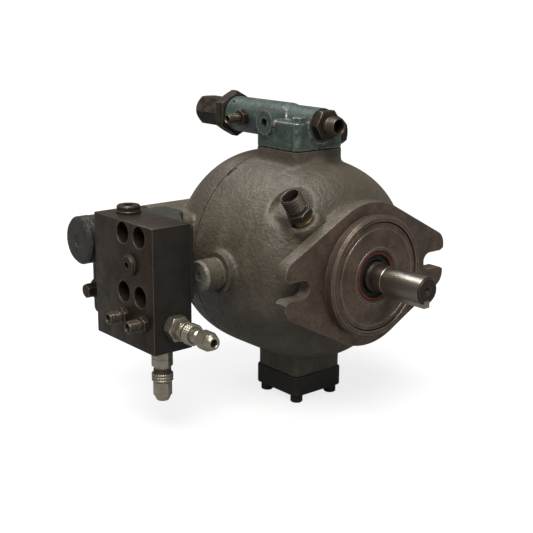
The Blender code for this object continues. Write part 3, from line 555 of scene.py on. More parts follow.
def machined(name, colour, stain, light, roughness, metallic):
    """Cut steel or iron with turning marks, stains, bright edges and painted shade in its hollows."""
    f = Finish(name, colour, metallic, roughness)
    f.layer(f.noise(14, 0.4, 0.65), stain, metallic=metallic * 0.6, roughness=roughness + 0.2, weight=0.8)
    f.layer(f.noise(3, 0.5, 0.7), stain, weight=0.55)
    # painted shade: the metal darkened and dulled in corners and hollows by ambient occlusion
    f.layer(f.shade_in_hollows(4), [c * 0.4 for c in stain], metallic=0.1, roughness=0.8, weight=0.75)
    f.layer(f.edges(0.5), light, metallic=0.9, roughness=0.3, weight=0.8)
    f.relief(f.noise(1.0, 0.3, 0.7, 4), 0.04)
    f.relief(f.rings(0.5), 0.01)
    return f.done()


def rusty(name, colour, rust, bright, share):
    """Steel under a thin film of rust, rubbed bright at its corners, with painted shade in its hollows."""
    f = Finish(name, colour, 0.6, 0.5)
    f.layer(f.noise(9, 0.52 - share / 4, 0.62), rust, metallic=0.1, roughness=0.85)
    f.layer(f.noise(1.6, 0.5, 0.7), [c * 0.5 for c in rust], metallic=0.1, roughness=0.9, weight=0.6)
    f.layer(f.both(f.edges(0.7), f.noise(3, 0.4, 0.6)), bright, metallic=0.8, roughness=0.35, weight=0.7)
    # painted shade: the rusty steel darkened in corners and hollows by ambient occlusion
    f.layer(f.shade_in_hollows(3), [c * 0.3 for c in rust], metallic=0.0, roughness=0.9, weight=0.8)
    f.relief(f.noise(0.9, 0.3, 0.7, 4), 0.08)
    return f.done()


def chipped_paint():
    """Grey-green paint, chipped to bright metal at its edges, with rust along the seams and painted shade in
    its hollows.
    """
    f = Finish("chipped_green_paint", (0.044, 0.078, 0.067), 0.0, 0.42)
    f.layer(f.noise(22, 0.35, 0.7), (0.024, 0.042, 0.038), weight=0.8)
    f.layer(f.noise(6, 0.5, 0.72), (0.112, 0.135, 0.098), weight=0.65)
    f.layer(f.noise(5, 0.56, 0.66, 5), (0.05, 0.036, 0.022), roughness=0.8, weight=0.6)
    f.layer(f.noise(1.5, 0.56, 0.64), (0.022, 0.021, 0.015), roughness=0.75, weight=0.6)
    # painted shade: the green paint darkened in corners and hollows by ambient occlusion
    f.layer(f.shade_in_hollows(14, 0.7, 0.3), (0.018, 0.015, 0.011), roughness=0.8, weight=0.6)
    chips = f.both(f.edges(1.6, 0.03, 0.2), f.noise(3.5, 0.42, 0.52, 5))
    f.layer(chips, (0.42, 0.41, 0.37), metallic=0.85, roughness=0.38)
    f.layer(f.noise(2.0, 0.66, 0.7, 4), (0.33, 0.32, 0.28), metallic=0.8, roughness=0.4, weight=0.8)
    f.layer(f.shade_in_hollows(6), (0.06, 0.032, 0.018), roughness=0.85, weight=0.9)
    f.relief(f.noise(1.2, 0.3, 0.7, 4), 0.1)
    f.relief(f.both(chips, 1.0, "SUBTRACT"), 0.05)
    return f.done()


def shaded_front_steel():
    """Milled steel made darker all over, as painted shade for the manifold block's front face."""
    f = Finish("shaded_front_steel", (0.016, 0.012, 0.009), 0.2, 0.5)
    f.layer(f.noise(14, 0.4, 0.7), (0.007, 0.006, 0.005), roughness=0.6)
    f.layer(f.edges(0.5), (0.3, 0.26, 0.21), metallic=0.9, roughness=0.3, weight=0.6)
    f.relief(f.noise(1.0, 0.3, 0.7, 4), 0.04)
    return f.done()


def black_paint():
    """Black paint on cast iron, dusty and scuffed."""
    f = Finish("black_iron", (0.012, 0.011, 0.0095), 0.1, 0.5)
    f.layer(f.noise(12, 0.45, 0.75), (0.026, 0.023, 0.019), roughness=0.7)
    scuffs = f.both(f.edges(0.8), f.noise(3, 0.4, 0.6))
    f.layer(scuffs, (0.16, 0.14, 0.11), metallic=0.6, roughness=0.45, weight=0.6)
    f.relief(f.noise(1.0, 0.3, 0.7, 4), 0.1)
    return f.done()


def zinc():
    """Zinc-plated steel, slightly yellowed and dulled, with painted shade in its hollows."""
    f = Finish("bright_zinc", (0.5, 0.46, 0.38), 0.95, 0.28)
    f.layer(f.noise(8, 0.4, 0.7), (0.33, 0.29, 0.21), roughness=0.42, weight=0.8)
    f.layer(f.noise(1.8, 0.55, 0.75), (0.2, 0.16, 0.11), metallic=0.6, roughness=0.6, weight=0.6)
    # painted shade: the zinc darkened in corners and hollows by ambient occlusion
    f.layer(f.shade_in_hollows(3), (0.05, 0.04, 0.03), metallic=0.2, roughness=0.8, weight=0.85)
    f.relief(f.noise(0.8, 0.3, 0.7), 0.02)
    return f.done()


def bright_steel():
    """Ground shaft steel with fine marks around it, light brown spots and painted shade in its hollows."""
    f = Finish("ground_steel", (0.4, 0.365, 0.315), 1.0, 0.3)
    f.layer(f.noise(24, 0.35, 0.75, stretch=(1, 2, 1)), (0.28, 0.25, 0.21), roughness=0.38, weight=0.7)
    f.layer(f.noise(1.4, 0.66, 0.76), (0.14, 0.09, 0.06), metallic=0.4, roughness=0.7, weight=0.4)
    # painted shade: the steel darkened in corners and hollows by ambient occlusion
    f.layer(f.shade_in_hollows(3), (0.06, 0.05, 0.04), metallic=0.3, roughness=0.7, weight=0.8)
    f.relief(f.noise(0.6, 0.3, 0.7, stretch=(0.15, 3, 0.15)), 0.02)
    return f.done()


def bronze():
    """Bearing bronze, dark where oil has stained it, with painted shade in its hollows."""
    f = Finish("bearing_bronze", (0.5, 0.32, 0.13), 1.0, 0.34)
    f.layer(f.noise(8, 0.4, 0.7), (0.26, 0.15, 0.06), roughness=0.5, weight=0.8)
    # painted shade: the bronze darkened in corners and hollows by ambient occlusion
    f.layer(f.shade_in_hollows(4), (0.04, 0.03, 0.02), metallic=0.3, roughness=0.8, weight=0.8)
    f.relief(f.noise(0.9, 0.3, 0.7), 0.03)
    return f.done()


def rubber(name, colour):
    """Matt moulded rubber."""
    f = Finish(name, colour, 0.0, 0.62)
    f.layer(f.noise(4, 0.4, 0.7), [c * 1.8 for c in colour], roughness=0.75, weight=0.7)
    f.relief(f.noise(0.7, 0.3, 0.7), 0.04)
    return f.done()


def build_finishes():
    """Every finish, by the name of the record's material slot or of its use here."""
    paints = {
        "body_paint": ((0.088, 0.072, 0.05), (0.05, 0.04, 0.028), (0.13, 0.112, 0.078),
                       (0.32, 0.29, 0.24), 0.5),
        # a lighter copy of the body paint: painted light for the trunnion caps' shaded end faces
        "cap_end_lit_paint": ((0.2, 0.185, 0.16), (0.13, 0.118, 0.1), (0.26, 0.24, 0.21), (0.4, 0.37, 0.32), 0.6),
        "adapter_paint": ((0.026, 0.023, 0.019), (0.014, 0.012, 0.01), (0.045, 0.04, 0.033),
                          (0.25, 0.22, 0.18), 0.6),
    }
    metals = {
        "machined_iron": ((0.155, 0.112, 0.084), (0.06, 0.04, 0.028), (0.42, 0.38, 0.33), 0.42, 0.7),
        "oiled_steel": ((0.056, 0.039, 0.026), (0.02, 0.013, 0.009), (0.36, 0.32, 0.27), 0.36, 0.7),
        "dark_steel": ((0.042, 0.031, 0.022), (0.018, 0.012, 0.008), (0.3, 0.25, 0.19), 0.4, 0.65),
    }
    finishes = {name: cast_paint(name, *tones) for name, tones in paints.items()}
    finishes |= {name: machined(name, *tones) for name, tones in metals.items()}
    return finishes | {
        "rusty_steel": rusty("rusty_steel", (0.022, 0.016, 0.012), (0.034, 0.02, 0.012),
                             (0.24, 0.2, 0.15), 0.3),
        "yellow_steel": rusty("yellowed_steel", (0.22, 0.15, 0.055), (0.16, 0.08, 0.025),
                              (0.45, 0.38, 0.24), 0.2),
        "green_paint": chipped_paint(),
        "black_iron": black_paint(),
        # a darker copy of the block's steel: painted shade for its front face
        "shaded_front_steel": shaded_front_steel(),
        "zinc": zinc(),
        "steel": bright_steel(),
        "bronze": bronze(),
        "rubber": rubber("black_rubber", (0.012, 0.011, 0.011)),
        "orange_rubber": rubber("orange_rubber", (0.13, 0.022, 0.01)),
    }


def show(obj, finish, body="pump", nodes=()):
    """Finish a piece, let it ride on a body and stand for CAD nodes."""
    if not obj.data.materials:
        obj.data.materials.append(FINISHES[finish])
    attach(obj, body)
    if nodes:
        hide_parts(*nodes)


def facing(obj, finish, test):
    """Give the faces that pass a test a second finish."""
    obj.data.materials.append(FINISHES[finish])
    index = len(obj.data.materials) - 1
    for face in obj.data.polygons:
        if test(face.normal, (face.center - DATUM) / MM):
            face.material_index = index


# ---- body

def drum_profile(reach, rounding, start, steps):
    """Radius and place along the shaft of the body's rounded end, from a start angle to the middle."""
    points = []
    for i in range(steps):
        angle = math.radians(start + (90 - start) * i / steps)
        points.append((DRUM_RADIUS * math.sin(angle) ** (2 / rounding),
                       DRUM_MIDDLE + reach * math.cos(angle) ** (2 / rounding)))
    return points


def flange_outline():
    """Mounting flange: a round middle with two ears."""
    slope = math.radians(EAR_ANGLE)
    across = EAR_END - EAR_CORNER
    corner = (across, (FLANGE_RADIUS - EAR_CORNER - across * math.cos(slope)) / math.sin(slope))
    upper = arc((0, 0), FLANGE_RADIUS, 90, EAR_ANGLE, 12) + arc(corner, EAR_CORNER, EAR_ANGLE, 0, 14)
    right = upper + [(x, -z) for x, z in reversed(upper)]
    return right + [(-x, z) for x, z in reversed(right[1:-1])]


def flange():
    """Two-bolt flange with its slots and the raised pilot."""
    face = plate("flange", flange_outline(), FLANGE_THICKNESS, (0, FLANGE_THICKNESS, 0), (0, -1, 0), 1.0)
    slots = []
    flare = SLOT_RADIUS + 4 * SLOT_FLARE
    mouth = [(SLOT_MOUTH, -SLOT_RADIUS), (EAR_END + 9, -flare), (EAR_END + 9, flare),
             (SLOT_MOUTH, SLOT_RADIUS)]
    outline = arc((BOLT_OFFSET, 0), SLOT_RADIUS, 90, 270, 24) + mouth
    for side in (1, -1):
        slots.append(plate("slot", [(side * x, z) for x, z in outline], 30, (0, 20, 0), (0, -1, 0)))
    seat = rod("seat", CARRIER_RADIUS + GAP, -20, 9)
    carve(face, *slots, seat)
    inner = CARRIER_RADIUS + GAP
    outer = PILOT_RADIUS
    end = -PILOT_LENGTH
    pilot = turned("pilot", [(inner + 0.5, end), (outer - 1.8, end), (outer, end + 1.8), (outer, -2.4),
                             (outer - 0.9, -1.8), (outer - 0.9, 1.0), (inner, 1.0), (inner, end + 0.5)],
                   sides=LARGE_ROUND)
    return face, pilot


def cover_screw_places():
    """Where the screws between the two castings stand, as x and z."""
    return [(COVER_SCREW_CIRCLE * math.cos(math.radians(angle)),
             COVER_SCREW_CIRCLE * math.sin(math.radians(angle))) for angle in COVER_SCREW_ANGLES]


def base_screw_places():
    """Where the bottom cover's screws stand, as x and y."""
    return [(x, BASE_CENTRE[1] + y) for x in (-BASE_SCREW_OFFSET, BASE_SCREW_OFFSET)
            for y in (-BASE_SCREW_OFFSET, BASE_SCREW_OFFSET)]


def pump_housing():
    """Front casting with its flange, pads, trunnion bosses and drain boss."""
    front = drum_profile(-FRONT_REACH, FRONT_ROUNDING, 27, 36)
    profile = [(0, 3), (NECK_RADIUS, 3)] + front
    profile += [(DRUM_RADIUS, DRUM_MIDDLE), (DRUM_RADIUS, SEAM + 4), (0, SEAM + 4)]
    drum = turned("drum", profile, sides=LARGE_ROUND)
    top = plate("top_pad", rounded_square(PAD_SIZE, PAD_CORNER), 38, (*PAD_CENTRE, PAD_TOP - 35), ALONG_Z)
    base = plate("base_pad", rounded_square(BASE_SIZE - 2, BASE_CORNER), 38,
                 (*BASE_CENTRE, BASE_PAD + 35), -ALONG_Z)
    bosses = rod("bosses", BOSS_RADIUS, -BOSS_END - 3, BOSS_END + 3, (0, TILT_CENTRE, 0), ALONG_X)
    drain = turned("drain_boss", [(0, -26), (17, -26), (13.4, 1.2), (0, 1.2)], DRAIN_FOOT, DRAIN_AXIS)
    rib = slab("rib", (-64, 26, 22), (-60, 48, 52), 1.5)
    hollow = [(0, 0.5), (13, 0.5), (28, 11.5), (28, 40), (0, 40)]
    carve(drum, turned("hollow", hollow, DRAIN_FOOT, DRAIN_AXIS))
    body = cast("pump_housing", [drum, top, base, bosses, drain, rib], rounds=22)
    trims = [slab("trim", (-FAR, SEAM, -FAR), (FAR, SEAM + 60, FAR)),
             slab("trim", (-FAR, 0, PAD_TOP), (FAR, FAR + 20, PAD_TOP + 40)),
             slab("trim", (-FAR, 0, BASE_PAD - 40), (FAR, FAR + 20, BASE_PAD)),
             slab("trim", (BOSS_END, 0, -60), (BOSS_END + 40, FAR, 60)),
             slab("trim", (-BOSS_END - 40, 0, -60), (-BOSS_END, FAR, 60)),
             rod("trim", 8.5, 1, 8, DRAIN_FOOT, DRAIN_AXIS),
             rod("trim", CARRIER_RADIUS + GAP, -20, 9)]
    profile = [(0, 5), (22, 5), (22, 15), (31.3, 15), (31.3, 39), (66, 39), (CAVITY_RADIUS, 50),
               (CAVITY_RADIUS, 140), (0, 140)]
    cavity = turned("cavity", profile)
    bores = rod("bores", 13.5, -120, 120, (0, TILT_CENTRE, 0), ALONG_X)
    drain_hole = rod("drain_hole", 5.5, -30, 5, DRAIN_FOOT, DRAIN_AXIS, sides=36)
    notch = rod("notch", 1.5, 0, 11, (-44.2, 118.3, 77), (-9, 2, -6), sides=24)
    threads = [rod("thread", 3.6, SEAM - 22, SEAM + 5, (x, 0, z), sides=24)
               for x, z in cover_screw_places()]
    holes = [rod("hole", 3.5, -14, 5, (x, y, BASE_PAD), -ALONG_Z, sides=24)
             for x, y in base_screw_places()]
    carve(body, *trims, cavity, bores, drain_hole, notch, *threads, *holes)
    face, pilot = flange()
    body = unite("pump_housing_casting", [body, face, pilot])
    body.data.materials.append(FINISHES["body_paint"])
    facing(body, "machined_iron", lambda normal, at: (normal.y < -0.5 and at.y < 1.2 and at.xz.length < 62)
           or (normal.y < -0.9 and at.y < 0.5) or (at.y < -0.5))
    show(body, "body_paint", nodes=["pump_housing"])


def rear_cover():
    """Domed rear casting with the manifold's pad, the inlet boss and the screw pockets."""
    rear = [point for point in drum_profile(REAR_REACH, REAR_ROUNDING, 0, 40) if point[1] > COVER_FACE + 1]
    dome = turned("dome", rear + [(DRUM_RADIUS - 0.2, COVER_FACE - 4), (0, COVER_FACE - 4)],
                  sides=LARGE_ROUND)
    pad = slab("pad", (-98, 128, -32), (-40, 172, 38), 6)
    inlet = rod("inlet", 21.5, -104, 46, (0, *INLET), ALONG_X, 3)
    body = cast("rear_cover", [dome, pad, inlet])
    trims = [slab("trim", (-FAR, 60, -FAR), (FAR, COVER_FACE, FAR)),
             slab("trim", (-FAR, 100, -33), (-94, 157, 39)),
             slab("trim", (-FAR, 100, -33), (-100, 210, 60))]
    cavity = turned("cavity", [(0, 100), (51.5, 100), (51.5, 155.6), (12, 155.6), (12, 165), (0, 165)])
    passages = [rod("bore", 9.3, 100, 166, (0, 0, 64)), rod("bore", 12, 100, 160, (0, 0, -64)),
                rod("bore", 6.5, 29, 115, (0, 160, -14), -ALONG_X, sides=36),
                rod("bore", 10, -36, 115, (0, *INLET), -ALONG_X)]
    places = cover_screw_places()
    pockets = [rod("pocket", 7.5, POCKET_FLOOR, 190, (x, 0, z), sides=48) for x, z in places]
    holes = [rod("hole", 4.1, 110, POCKET_FLOOR + 5, (x, 0, z), sides=24) for x, z in places]
    carve(body, *trims, cavity, *passages, *pockets, *holes)
    show(body, "body_paint", nodes=["rear_cover"])
    for i, (x, z) in enumerate(places):
        screw = cap_screw(f"cover_screw_{i + 1}", (x, POCKET_FLOOR + 0.1, z), ALONG_Y, 6.4, 8, 3.4, 34)
        show(screw, "black_iron")


def cap_screw(name, at, toward, head, height, shank, length):
    """A socket head cap screw, its head standing at a point."""
    profile = [(0, -length), (shank - 0.6, -length), (shank, -length + 0.8), (shank, 0), (head, 0),
               (head, height - 0.7), (head - 0.7, height), (0, height)]
    body = turned(name, profile, at, toward, 48)
    socket = rod("socket", head * 0.56, height - 4, height + 5, at, toward, sides=6)
    return carve(body, socket)


def cover_gasket():
    """Flat gasket between the castings."""
    inner = CAVITY_RADIUS + 0.5
    outer = DRUM_RADIUS - 0.8
    profile = [(inner, 121.3), (outer, 121.3), (outer, 122.1), (inner, 122.1)]
    show(turned("cover_gasket_ring", profile, sides=LARGE_ROUND), "rubber", nodes=["cover_gasket"])


def front_pieces():
    """Seal carrier, shaft seal and trunnion caps."""
    edge = CARRIER_RADIUS
    profile = [(edge, 8.7), (edge, -7.5), (edge - 1.0, -8.5), (edge - 4, -8.5), (edge - 4.4, -8.1),
               (edge - 5.2, -8.1), (edge - 5.6, -8.5), (24.6, -8.5), (24.2, -8.9), (22.4, -8.9),
               (21.4, -8.2), (20.4, -7.0), (20.4, 3), (16, 3), (16, 8.7)]
    carrier = turned("seal_carrier_disc", profile, sides=LARGE_ROUND)
    show(carrier, "machined_iron", nodes=["seal_carrier"])
    profile = [(20.1, 2.7), (20.1, -6.0), (19.3, -6.6), (18.2, -6.2), (17.2, -4.4), (15.4, -4.0),
               (13.9, -5.2), (12.8, -3.6), (13.6, 0), (13.6, 2.7)]
    show(turned("shaft_seal_ring", profile), "rubber", nodes=["shaft_seal"])
    wiper = turned("seal_wiper", [(20.1, -6.9), (19.2, -7.5), (18.3, -6.9), (18.6, -6.5), (20.1, -6.4)])
    show(wiper, "orange_rubber")
    edge = CAP_RADIUS
    profile = [(0, 85.2), (edge - 0.6, 85.2), (edge, 85.8), (edge, 96), (edge - 0.5, 96.6),
               (edge - 0.5, 98), (edge, 98.6), (edge, CAP_END - 2.0), (11.4, CAP_END), (4.0, CAP_END),
               (3.2, CAP_END - 0.6), (0, CAP_END - 0.6)]
    for side, label in ((-1, "left"), (1, "right")):
        cap = turned(f"trunnion_cap_{label}_turned", profile, (0, TILT_CENTRE, 0), (side, 0, 0))
        cap.data.materials.append(FINISHES["body_paint"])
        # the caps' end faces get the lighter copy of the paint: painted light
        facing(cap, "cap_end_lit_paint", lambda normal, at: abs(at.x) > CAP_END - 3)
        show(cap, "body_paint", nodes=[f"trunnion_cap_{label}"])


def shaft_group():
    """Drive shaft with its centre hole, keyway and key."""
    end = SHAFT_END
    edge = SHAFT_RADIUS
    profile = [(0, end + 5.0), (1.3, end + 4.0), (1.3, end + 2.2), (3.1, end + 0.3), (3.6, end),
               (edge - 1.3, end), (edge, end + 1.3), (edge, -24.6), (edge - 0.25, -24.2),
               (edge - 0.25, -22), (edge, -21.6), (edge, -9.6), (JOURNAL_RADIUS, -8.4),
               (JOURNAL_RADIUS, 40), (11.5, 41), (11.5, 104), (11.9, 105), (11.9, 150), (8.5, 151),
               (8.5, 164), (0, 164)]
    shaft = turned("drive_shaft_ground", profile, sides=96)
    keyway = slab("keyway", (-3.3, end - 5, -14.1), (3.3, -16, -7.7))
    carve(shaft, keyway)
    shaft.data.materials.append(FINISHES["steel"])
    facing(shaft, "dark_steel", lambda normal, at: (normal.y < -0.4 and at.y < end + 6) or at.y > -11)
    show(shaft, "steel", "shaft", ["drive_shaft"])
    key = slab("shaft_key_square", (-3.175, end + GAP, -14.05), (3.175, -17, -8), 0.4, 2)
    show(key, "steel", "shaft", ["shaft_key"])


# ---- fittings

def fitting(name, at, toward, flats, span, radius, length, bore, stem, pitch):
    """A tube fitting: hexagon, threaded end with an open bore, and a stem inside its port."""
    start, end = span
    along = Vector(toward).normalized()
    at = Vector(at)
    inner, depth = stem
    passage = bore * 0.7
    nut = hexagon("nut", flats, start, end, at, along, passage)
    profile = [(passage, end - 0.5), (radius - 1.2, end - 0.5), (radius - 1.2, end + 2), (passage, end + 2)]
    groove = turned("groove", profile, at, along)
    screw = thread("screw", radius, bore, end + 1.5, length, pitch, at, along)
    profile = [(inner, -depth), (inner, start + 0.5), (passage, start + 0.5), (passage, -depth)]
    lip = turned("lip", profile, at, along)
    floor = rod("floor", bore + 0.3, length - 12, length - 11, at, along)
    body = unite(f"{name}_turned", [nut, groove, screw, lip, floor], 55)
    show(body, "dark_steel", nodes=[name])


def drain_fitting():
    """Case drain fitting, with its yellowed neck, on the drain boss."""
    foot = DRAIN_FOOT + DRAIN_AXIS * (1 + GAP)
    fitting("drain_fitting", foot, DRAIN_AXIS, 19.5, (5, 11), 8.9, 26, 7.0, (5.0, 7), 1.8)
    profile = [(5.2, 0), (8.4, 0), (8.8, 0.5), (8.8, 1.4), (8.2, 2), (8.2, 4.9), (5.2, 4.9)]
    neck = turned("drain_neck", profile, foot, DRAIN_AXIS)
    show(neck, "yellow_steel")


def socket_plug(name, at, toward, head, height, stem, socket):
    """A flanged plug on a washer, with a hexagon socket."""
    inner, depth = stem
    profile = [(0, -depth), (inner, -depth), (inner, GAP), (head - 0.2, GAP), (head, 0.6), (head, 1.8),
               (head - 0.3, 2.1), (head - 1.2, 2.2), (head - 1.2, 2.7), (head - 0.6, 2.9),
               (head - 0.6, height - 0.9), (head - 1.4, height), (0, height)]
    body = turned(f"{name}_turned", profile, at, toward)
    hole = rod("socket", socket, height - 4.5, height + 5, at, toward, sides=6)
    show(carve(body, hole), "dark_steel", nodes=[name])


def quick_coupler(name, at, toward, flats, length):
    """A quick coupler: hexagons, a spring, a knurled sliding sleeve and a nose with an open bore."""
    along = Vector(toward)
    base = hexagon("base", flats, 0, 9, at, along)
    second = hexagon("second", 15, 8, 15.6, at, along)
    neck = turned("neck", [(0, -9), (5, -9), (5, 1), (6.2, 2), (6.2, length - 19), (4.8, length - 17),
                           (4.8, length - 11), (0, length - 11)], at, along)
    collar = turned("collar", [(0, 15.4), (7.1, 15.4), (7.1, 16.2), (6.6, 16.7), (0, 16.7)], at, along)
    nose = hexagon("nose", 13.3, length - 16, length - 3.6, at, along, 3.0)
    cone = turned("cone", [(3.0, length - 4), (6.4, length - 4), (6.4, length - 3), (5.2, length - 0.3),
                           (4.9, length), (3.6, length), (3.0, length - 0.6)], at, along)
    body = unite(f"{name}_turned", [base, second, neck, collar, nose, cone])
    show(body, "zinc", nodes=[name])
    ribs = []
    for i in range(3):
        start = 20.5 + 2.4 * i
        ribs += [(7.9, start + 0.1), (8.8, start + 0.8), (8.8, start + 1.6), (7.9, start + 2.3)]

    def knurl(radius, height, angle):
        return radius - (0.25 * (0.5 - 0.5 * math.cos(angle * 30)) if radius > 8.5 else 0)

    sleeve = turned(f"{name}_sleeve_knurled", [(6.6, 20.5)] + ribs + [(6.6, 27.6)], at, along, 180, knurl)
    show(sleeve, "zinc", f"{name}_sleeve", [f"{name}_sleeve"])
    spring = coil(f"{name}_spring", 6.9, 0.35, 16.8, 20.4, 3, at, along)
    show(spring, "dark_steel")
    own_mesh(spring)


# ---- compensator

def compensator():
    """Pressure compensator on the top pad, with its nut, adjusting screw, plugs and fittings."""
    at = (0, 0, VALVE_LEVEL)
    low = PAD_TOP + GAP
    ledge = plate("ledge", rounded_square(PAD_SIZE - 1, PAD_CORNER - 0.5), LEDGE_HEIGHT,
                  (*PAD_CENTRE, low), ALONG_Z, 1.0)
    barrel = turned("barrel", [(0, VALVE_FRONT - 2), (VALVE_SLIM, VALVE_FRONT - 2), (VALVE_SLIM, 95),
                               (VALVE_RADIUS, 99), (VALVE_RADIUS, VALVE_REAR + 2), (0, VALVE_REAR + 2)],
                    at, sides=96)
    boss = rod("boss", 10.5, 0, 33, CROSS_BOSS, -ALONG_X)
    body = cast("compensator", [ledge, barrel, boss], 0.8, 3)
    trims = [slab("trim", (-40, 40, 80), (40, VALVE_FRONT, 140)),
             slab("trim", (-40, VALVE_REAR, 80), (40, 190, 140)),
             slab("trim", (-50, 80, 90), (-CROSS_END, 120, 130)),
             slab("trim", (-50, 40, 80), (50, 190, low))]
    profile = [(0, 55), (8, 55), (8, 74), (5.3, 76), (5.3, 120), (11, 122), (11, 180), (0, 180)]
    bore = turned("bore", profile, at)
    holes = [rod("hole", 4, 8, 20, (0, *PILOT_PORT[1:]), -ALONG_X, sides=36),
             rod("hole", 4.2, 20, 40, CROSS_BOSS, -ALONG_X, sides=6),
             rod("hole", 7, 10, 40, SIDE_PORT, ALONG_X, sides=36)]
    for angle in (20, 75, 130, 185):
        way = (math.cos(math.radians(angle)), 0, math.sin(math.radians(angle)))
        holes.append(rod("spanner_hole", 1.5, 14.2, 20, (0, 166, VALVE_LEVEL), way, sides=24))
    carve(body, *trims, bore, *holes)
    body.name = "compensator_casting"
    show(body, "green_paint", nodes=["compensator_body"])
    nut = hexagon("compensator_nut_turned", 36, VALVE_REAR + GAP, NUT_REAR, at, ALONG_Y, 8.0,
                  turn=math.pi / 6)
    show(nut, "rusty_steel", nodes=["compensator_nut"])
    head = hexagon("head", 25, NUT_REAR + GAP, SCREW_END, at, ALONG_Y, slope=1.3)
    stem = rod("stem", 7.6, 162, NUT_REAR + 3, at, ALONG_Y)
    show(unite("adjusting_screw_turned", [head, stem]), "rusty_steel", "adjusting_screw", ["adjusting_screw"])
    plug = hexagon("plug", 23, 26.8, 34.2, SIDE_PORT, ALONG_X)
    plug_stem = rod("plug_stem", 6.7, 14, 28, SIDE_PORT, ALONG_X)
    show(unite("side_plug_turned", [plug, plug_stem]), "rusty_steel", nodes=["side_plug"])
    show(hexagon("ledge_plug", 10.5, 0, 4.4, (-21, 66.5, 119.1), ALONG_Z), "green_paint")
    fitting("pressure_fitting", (0, VALVE_FRONT - GAP, VALVE_LEVEL + 1), -ALONG_Y, 24, (0, 8), 8.0, 20, 5.6,
            (6.5, 9), 1.6)
    fitting("pilot_fitting", PILOT_PORT, -ALONG_X, 13, (0, 6), 4.4, 19, 2.9, (3.6, 4), 1.1)


def bottom_cover():
    """Black blanking cover and the screws on which the pump stands."""
    top = BASE_PAD - GAP
    outline = rounded_square(BASE_SIZE, BASE_CORNER)
    cover = plate("bottom_cover_plate", outline, top - COVER_BOTTOM, (*BASE_CENTRE, top), -ALONG_Z, 1.2)
    places = base_screw_places()
    holes = [rod("hole", 3.6, 0, 30, (*place, BASE_PAD + 5), -ALONG_Z, sides=36) for place in places]
    show(carve(cover, *holes), "black_iron", nodes=["bottom_cover"])
    for i, place in enumerate(places):
        screw = cap_screw(f"bottom_screw_{i + 1}", (*place, COVER_BOTTOM - GAP), -ALONG_Z, 5.4,
                          COVER_BOTTOM - GAP - FOOT_LEVEL, 3.0, 27)
        show(screw, "black_iron", nodes=[f"bottom_cover_screw_{i + 1}"])


# ---- manifold

def manifold():
    """Manifold block with its screws, plugs, fittings and quick couplers."""
    left, front, bottom = BLOCK_LOW
    top = BLOCK_HIGH[2]
    side_plug = (left, *SIDE_PLUG)
    top_plug = (*TOP_PLUG, top)
    coupler_x, coupler_z = FRONT_COUPLER
    block = slab("manifold_block_milled", BLOCK_LOW, BLOCK_HIGH, 0.8, 2)
    depth = COUNTERBORE_DEPTH
    profile = [(0, -5), (9.1, -5), (9.1, 0), (8.5, 0.6), (8.5, depth), (0, depth)]
    cuts = []
    for y, z in SCREW_GRID:
        cuts.append(turned("counterbore", profile, (left, y, z), ALONG_X))
        cuts.append(rod("hole", 5.3, 10, 50, (left, y, z), ALONG_X, sides=36))
    cuts += [rod("port", 7, -5, 50, side_plug, ALONG_X, sides=48),
             rod("port", 8, -5, 18, top_plug, -ALONG_Z, sides=48)]
    cuts += [rod("port", 4.4, -5, 12, (left, y, z), ALONG_X, sides=36) for y, z in TUBE_FITTINGS.values()]
    cuts += [rod("port", 5.4, -5, 12, (coupler_x, front, coupler_z), ALONG_Y, sides=36),
             rod("port", 5.4, -5, 12, (*BOTTOM_COUPLER, bottom), ALONG_Z, sides=36)]
    for cutter in cuts:
        carve(block, cutter)
    block.data.materials.append(FINISHES["oiled_steel"])
    # the block's front face gets a darker copy of its steel: painted shade
    facing(block, "shaded_front_steel", lambda normal, at: normal.y < -0.9 and at.y < front + 0.1)
    show(block, "oiled_steel", nodes=["manifold_block"])
    for i, (y, z) in enumerate(SCREW_GRID):
        screw = cap_screw(f"manifold_screw_{i + 1}", (left + depth - 0.1, y, z), -ALONG_X, 7.9, 10, 4.1, 18)
        show(screw, "black_iron")
    socket_plug("manifold_side_plug", side_plug, -ALONG_X, 8.8, 4, (6.7, 12), 3.2)
    socket_plug("manifold_top_plug", top_plug, ALONG_Z, 10.2, 6.5, (7.7, 12), 4.6)
    for name, (y, z) in TUBE_FITTINGS.items():
        fitting(name, (left - GAP, y, z), -ALONG_X, 12, (0, 4.5), 5.2, 16.4, 3.3, (4, 8), 1.2)
    quick_coupler("front_coupler", (coupler_x, front - GAP, coupler_z), -ALONG_Y, 19, 52.5)
    quick_coupler("bottom_coupler", (*BOTTOM_COUPLER, bottom - GAP), -ALONG_Z, 15, 44)


